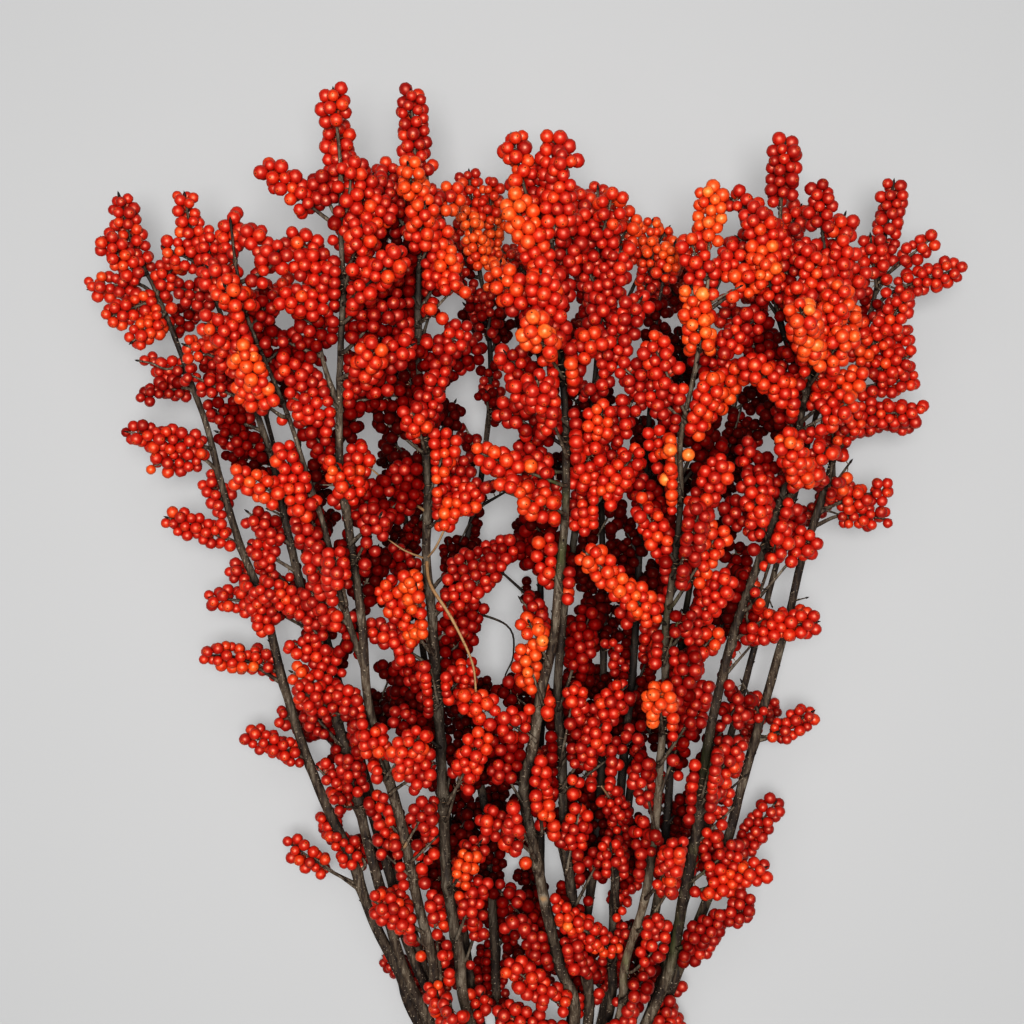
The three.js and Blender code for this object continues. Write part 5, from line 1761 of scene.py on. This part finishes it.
def ply_tube(piece, line):
    """A twisted cord: three plies that wind round each other."""
    lengths = along_of(line)
    twist = lengths[:, None] / PLY_PITCH * 2 * math.pi
    bulge = 1 - PLY_DEPTH * (0.5 + 0.5 * np.cos(PLIES * (turns_round(PLY_SIDES) - twist)))
    radii = TWINE_RADIUS * bulge
    points, faces = tube(line, radii, PLY_SIDES)
    value = np.stack([
        np.repeat(lengths, PLY_SIDES),
        (bulge - 1 + PLY_DEPTH).ravel() / PLY_DEPTH,
        np.zeros(len(points)),
    ], axis=1)
    piece.add(points, faces, ply=value)


def tie_of_twine():
    """Seven wraps side by side, a knot on top, and its two ends."""
    piece = Piece()
    ring = hull_route(STEM_RADIUS * BARK_PLAY + TWINE_RADIUS)
    each = len(ring)
    spots = []
    for step in range(TWINE_WRAPS * each + 1):
        x, z = ring[step % each]
        share = step / (TWINE_WRAPS * each)
        y = TIE_Y + (share - 0.5) * (TWINE_WRAPS - 1) * 2 * TWINE_RADIUS
        spots.append(vec(TIE_X + x, y, TIE_Z + z))
    ply_tube(piece, catmull(spots[::2], TWINE_STEP))
    top = TIE_Z + 2 * ROW_HEIGHT + STEM_RADIUS * BARK_PLAY + KNOT_LIFT * TWINE_RADIUS
    turn = np.linspace(*KNOT_TURN, KNOT_POINTS)
    knot = np.stack([
        (np.sin(turn) + 2 * np.sin(2 * turn)) * KNOT_SIZE,
        (np.cos(turn) - 2 * np.cos(2 * turn)) * KNOT_SIZE,
        -np.sin(3 * turn) * TWINE_RADIUS * KNOT_RISE,
    ], axis=1) + vec(TIE_X, TIE_Y, top)
    wraps_top = vec(TIE_X, TIE_Y, top - 2 * TWINE_RADIUS)
    ends = [np.array(end) + wraps_top for end in (FIRST_END, LAST_END)]
    ply_tube(piece, catmull(np.vstack([ends[0], knot, ends[1]]), TWINE_STEP))
    return piece


# ---- materials ----------------------------------------------------------------------
# A berry's colour from deep red to orange, with some mottling.
BERRY_COLOURS = (
    (0.0, (0.060, 0.001, 0.001)),
    (0.2, (0.15, 0.001, 0.001)),
    (0.4, (0.28, 0.003, 0.003)),
    (0.6, (0.46, 0.012, 0.003)),
    (0.8, (0.66, 0.085, 0.010)),
    (1.0, (0.85, 0.27, 0.055)),
)
MOTTLE = 0.3
HALO = (0.42, 0.18)  # a lighter ring round the scar, from its rim to its middle
HALO_SHARE = 0.35
HALO_COLOUR = (0.80, 0.16, 0.03, 1)
SCAR_LEAST, SCAR_SPREAD = 0.1, 0.07  # the scar's reach, of the berry's radius
SCAR_CORE = 0.55  # and where it is darkest, of its reach
SCAR_SHARE = 0.9
SCAR_COLOUR = (0.035, 0.012, 0.006, 1)
STALK_END = (-0.75, -0.98)
STALK_END_SHARE = 0.4
STALK_END_COLOUR = (0.35, 0.05, 0.01, 1)
BERRY_ROUGH = (0.44, 0.54)
BERRY_SHINE = (0.1, 1.0)  # specular level of the deepest berries and of the others
BERRY_SHINE_TINT = (1.0, 0.7, 0.5, 1)

BARK_COLOURS = (
    (0.38, (0.006, 0.003, 0.002)),
    (0.47, (0.030, 0.017, 0.010)),
    (0.55, (0.085, 0.062, 0.041)),
    (0.66, (0.20, 0.17, 0.13)),
)
PALE_LIFT = 0.18
LENTICEL = (0.34, 0.28, 0.21, 1)
ALGAE = (0.060, 0.082, 0.016, 1)
ALGAE_SHARE = 0.7
PEELED = ((0.22, 0.12, 0.05, 1), (0.42, 0.27, 0.14, 1))
BUD_COLOUR = (0.012, 0.007, 0.005, 1)
CUT_WOOD = ((0.50, 0.36, 0.20, 1), (0.68, 0.54, 0.34, 1))
PAINTED_SHADE_BARK = (0.006, 0.003, 0.002, 1)  # painted shade on wood deep inside the bunch
PAINTED_SHADE_SHARE = 0.85
BARK_ROUGH = (0.66, 0.88)

JUTE = ((0.16, 0.085, 0.03, 1), (0.46, 0.30, 0.14, 1))  # painted shade in the grooves, and the plies' own tan
JUTE_FIBRE = (0.62, 0.45, 0.25, 1)

FLOOR_SHADE = (0.255, 0.255, 0.255, 1)
FLOOR_CHANGE = 1.02
FLOOR_GLOW = 0.20  # painted light: the floor glows a little and fills in the shadows on it


class Finish:
    """A material as it is wired up. A value is a number, a colour or another node's output."""

    def __init__(self, name, roughness):
        self.material = bpy.data.materials.new(name)
        self.material.use_nodes = True
        self.tree = self.material.node_tree
        self.skin = self.tree.nodes["Principled BSDF"]
        self.skin.inputs["Roughness"].default_value = roughness

    def node(self, kind, **settings):
        """A new node, set up as named."""
        made = self.tree.nodes.new(kind)
        for name, value in settings.items():
            setattr(made, name, value)
        return made

    def plug(self, value, socket):
        """Links or sets one input."""
        if isinstance(value, bpy.types.NodeSocket):
            self.tree.links.new(value, socket)
        else:
            socket.default_value = value

    def math(self, operation, *values, clamp=False):
        """One step of arithmetic."""
        made = self.node("ShaderNodeMath", operation=operation, use_clamp=clamp)
        for value, socket in zip(values, made.inputs):
            self.plug(value, socket)
        return made.outputs[0]

    def times(self, first, second):
        return self.math("MULTIPLY", first, second)

    def spread(self, value, low, high, to_low=0.0, to_high=1.0):
        """The value's run from low to high, eased to another run."""
        made = self.node("ShaderNodeMapRange", interpolation_type="SMOOTHSTEP")
        for number, source in enumerate((value, low, high, to_low, to_high)):
            self.plug(source, made.inputs[number])
        return made.outputs[0]

    def mix(self, share, first, second):
        """The first colour, mixed with a share of the second."""
        made = self.node("ShaderNodeMix", data_type="RGBA")
        for value, number in ((share, 0), (first, 6), (second, 7)):
            self.plug(value, made.inputs[number])
        return made.outputs[2]

    def ramp(self, value, stops):
        """A colour read off a row of places and colours."""
        made = self.node("ShaderNodeValToRGB")
        self.plug(value, made.inputs[0])
        marks = made.color_ramp.elements
        while len(marks) < len(stops):
            marks.new(0.5)
        for mark, (place, colour) in zip(marks, stops):
            mark.position = place
            mark.color = (*colour, 1)
        return made.outputs[0]

    def attribute(self, name):
        """A vector that the mesh carries, as three numbers."""
        made = self.node("ShaderNodeAttribute", attribute_name=name)
        parts = self.node("ShaderNodeSeparateXYZ")
        self.plug(made.outputs["Vector"], parts.inputs[0])
        return parts.outputs

    def noise(self, scale, stretch=(1, 1, 1), detail=3.0, roughness=0.5):
        """Noise in the object's own metres; `scale` is in features a metre."""
        place = self.node("ShaderNodeTexCoord")
        laid = self.node("ShaderNodeMapping")
        laid.inputs["Scale"].default_value = stretch
        made = self.node("ShaderNodeTexNoise")
        self.plug(place.outputs["Object"], laid.inputs[0])
        self.plug(laid.outputs[0], made.inputs["Vector"])
        made.inputs["Scale"].default_value = scale
        made.inputs["Detail"].default_value = detail
        made.inputs["Roughness"].default_value = roughness
        return made.outputs[0]

    def bump(self, height, strength, distance):
        """Relief on the skin, its distance in metres."""
        made = self.node("ShaderNodeBump")
        made.inputs["Strength"].default_value = strength
        made.inputs["Distance"].default_value = distance
        self.plug(height, made.inputs["Height"])
        self.plug(made.outputs[0], self.skin.inputs["Normal"])

    def colour(self, value):
        self.plug(value, self.skin.inputs["Base Color"])


def berry_skin():
    """Satin red-orange skin, mottled, with a small dark scar opposite the stalk."""
    finish = Finish("winterberry_skin", 0.36)
    times, spread = finish.times, finish.spread
    hue, chance, _ = finish.attribute("tone")
    x, y, z = finish.attribute("skin")
    mottle = finish.noise(300, detail=2.0)
    warm = finish.math("MULTIPLY_ADD", hue, 0.5, 0.5)
    mottling = finish.math("MULTIPLY_ADD", mottle, MOTTLE, -MOTTLE / 2)
    warm = finish.math("ADD", warm, mottling, clamp=True)
    colour = finish.ramp(warm, BERRY_COLOURS)
    off = finish.math("SQRT", finish.math("ADD", times(x, x), times(y, y)))
    lively = spread(hue, -0.8, 0.0)
    on_top = times(spread(z, 0.0, 0.3), lively)
    halo = times(spread(off, *HALO), on_top)
    colour = finish.mix(times(halo, HALO_SHARE), colour, HALO_COLOUR)
    size = finish.math("MULTIPLY_ADD", chance, SCAR_SPREAD, SCAR_LEAST)
    scar = times(spread(off, size, times(size, SCAR_CORE)), on_top)
    colour = finish.mix(times(scar, SCAR_SHARE), colour, SCAR_COLOUR)
    stalk_end = times(spread(z, *STALK_END), times(lively, STALK_END_SHARE))
    colour = finish.mix(stalk_end, colour, STALK_END_COLOUR)
    finish.colour(colour)
    finish.plug(spread(mottle, 0.3, 0.7, *BERRY_ROUGH), finish.skin.inputs["Roughness"])
    shine = spread(lively, 0.0, 1.0, *BERRY_SHINE)
    finish.plug(shine, finish.skin.inputs["Specular IOR Level"])
    finish.skin.inputs["Specular Tint"].default_value = BERRY_SHINE_TINT
    finish.skin.inputs["IOR"].default_value = 1.6
    return finish.material


def bark():
    """Dark grey-brown bark with pale lenticels, algae on some stems, tan bare twigs, and painted shade
    deep in the bunch.
    """
    finish = Finish("winterberry_bark", 0.8)
    times, spread = finish.times, finish.spread
    green, pale, cut_wood_or_painted_shade = finish.attribute("bark")
    grain = finish.noise(420, stretch=(1, 0.16, 1), detail=6.0, roughness=0.7)
    blotch = finish.noise(70, stretch=(1, 0.45, 1), detail=4.0, roughness=0.6)
    specks = finish.noise(560, stretch=(1, 1.4, 1), detail=1.0)
    level = finish.math("ADD", times(blotch, 0.4), times(grain, 0.6))
    level = finish.math("MULTIPLY_ADD", pale, PALE_LIFT, level)
    colour = finish.ramp(level, BARK_COLOURS)
    colour = finish.mix(spread(specks, 0.66, 0.74), colour, LENTICEL)
    mossy = times(green, spread(blotch, 0.4, 0.6))
    colour = finish.mix(times(mossy, ALGAE_SHARE), colour, ALGAE)
    peeled = finish.mix(grain, *PEELED)
    colour = finish.mix(spread(pale, 0.4, 1.0), colour, peeled)
    colour = finish.mix(spread(pale, -0.4, -1.0), colour, BUD_COLOUR)
    wood = finish.mix(grain, *CUT_WOOD)
    colour = finish.mix(finish.math("MAXIMUM", cut_wood_or_painted_shade, 0.0), colour, wood)
    # painted shade: wood deep inside the bunch is darkened towards near black
    shade = finish.math("MULTIPLY", cut_wood_or_painted_shade, -PAINTED_SHADE_SHARE, clamp=True)
    colour = finish.mix(shade, colour, PAINTED_SHADE_BARK)
    finish.colour(colour)
    finish.plug(spread(grain, 0.3, 0.7, *BARK_ROUGH), finish.skin.inputs["Roughness"])
    relief = finish.math("ADD", grain, spread(specks, 0.62, 0.72))
    finish.bump(relief, strength=0.6, distance=0.0006)
    return finish.material


def twine_fibre():
    """Jute: tan, with painted shade in the grooves between the plies, and fibres along them."""
    finish = Finish("jute_twine", 0.9)
    _, ridge, _ = finish.attribute("ply")
    fibre = finish.noise(1400, detail=3.0)
    colour = finish.mix(finish.spread(ridge, 0.1, 0.8), *JUTE)
    colour = finish.mix(finish.spread(fibre, 0.45, 0.75), colour, JUTE_FIBRE)
    finish.colour(colour)
    finish.skin.inputs["Sheen Weight"].default_value = 0.25
    finish.bump(fibre, strength=0.5, distance=0.0004)
    return finish.material


def pale_floor():
    """A matt pale floor that glows a little, painted light that fills in its shadows."""
    finish = Finish("pale_floor", 0.9)
    other = tuple(level * FLOOR_CHANGE for level in FLOOR_SHADE)
    finish.colour(finish.mix(finish.noise(3.0), FLOOR_SHADE, other))
    finish.skin.inputs["Specular IOR Level"].default_value = 0.1
    finish.skin.inputs["Emission Color"].default_value = (1, 1, 1, 1)
    finish.skin.inputs["Emission Strength"].default_value = FLOOR_GLOW
    return finish.material


# ---- the dressed bunch --------------------------------------------------------------
BUD_SIDES = 5

fine_berry = berry_shape(*FINE_BERRY)
plain_berry = berry_shape(*PLAIN_BERRY)
bud = bud_shape(BUD_SIDES)
skin_finish, bark_finish = berry_skin(), bark()
for owner, branch in enumerate(BRANCHES):
    number = f"{owner + 1:02d}"
    wood = wood_of(owner, branch, bud)
    wood.build(f"wood_{number}", bark_finish, f"branch_{number}", "bark")
    fruit = berries_of(owner, fine_berry, plain_berry)
    fruit.build(f"berries_{number}", skin_finish, f"branch_{number}", "berries")
tie_of_twine().build("twine", twine_fibre(), "twine_tie", "twine")

# ---- floor, light and camera --------------------------------------------------------
FLOOR_SIZE = 8.0
FRAME_WIDTH = 716.8  # of the view, at the bunch's middle height
FAR_CLIP = 50
LIGHTS = (
    # name, place, aim, size, watts
    ("soft_light", (-0.1, 0.3, 2.2), (0.0, 0.05, 0.1), 2.0, 20),
    ("front_light", (-0.01, 0.16, 1.9), (0.0, 0.1, 0.1), 0.4, 29),
)
WORLD_LIGHT = 0.06


def lay_floor():
    bpy.ops.object.select_all(action="DESELECT")
    bpy.ops.mesh.primitive_plane_add(size=FLOOR_SIZE, location=(0, 0, 0))
    floor = bpy.context.object
    floor.name = "floor"
    floor.data.materials.append(pale_floor())


def hang_light(name, place, aim, size, watts):
    lamp = bpy.data.lights.new(name, "AREA")
    lamp.size = size
    lamp.energy = watts
    holder = bpy.data.objects.new(name, lamp)
    holder.location = place
    heading = Vector(aim) - Vector(place)
    holder.rotation_euler = heading.to_track_quat("-Z", "Y").to_euler()
    bpy.context.collection.objects.link(holder)


def set_world():
    world = bpy.data.worlds.new("studio")
    world.use_nodes = True
    world.node_tree.nodes["Background"].inputs["Color"].default_value = (1, 1, 1, 1)
    world.node_tree.nodes["Background"].inputs["Strength"].default_value = WORLD_LIGHT
    bpy.context.scene.world = world
    bpy.context.scene.view_settings.view_transform = "Standard"
    bpy.context.scene.view_settings.look = "High Contrast"


def set_camera():
    view = bpy.data.cameras.new("view")
    view.sensor_fit = "HORIZONTAL"
    view.angle = 2 * math.atan(FRAME_WIDTH / 2 / (EYE[2] - PLAN_HEIGHT))
    view.clip_end = FAR_CLIP
    holder = bpy.data.objects.new("view", view)
    holder.location = vec(*EYE) * MM
    bpy.context.collection.objects.link(holder)
    bpy.context.scene.camera = holder


lay_floor()
for light in LIGHTS:
    hang_light(*light)
set_world()
set_camera()
bpy.context.view_layer.update()
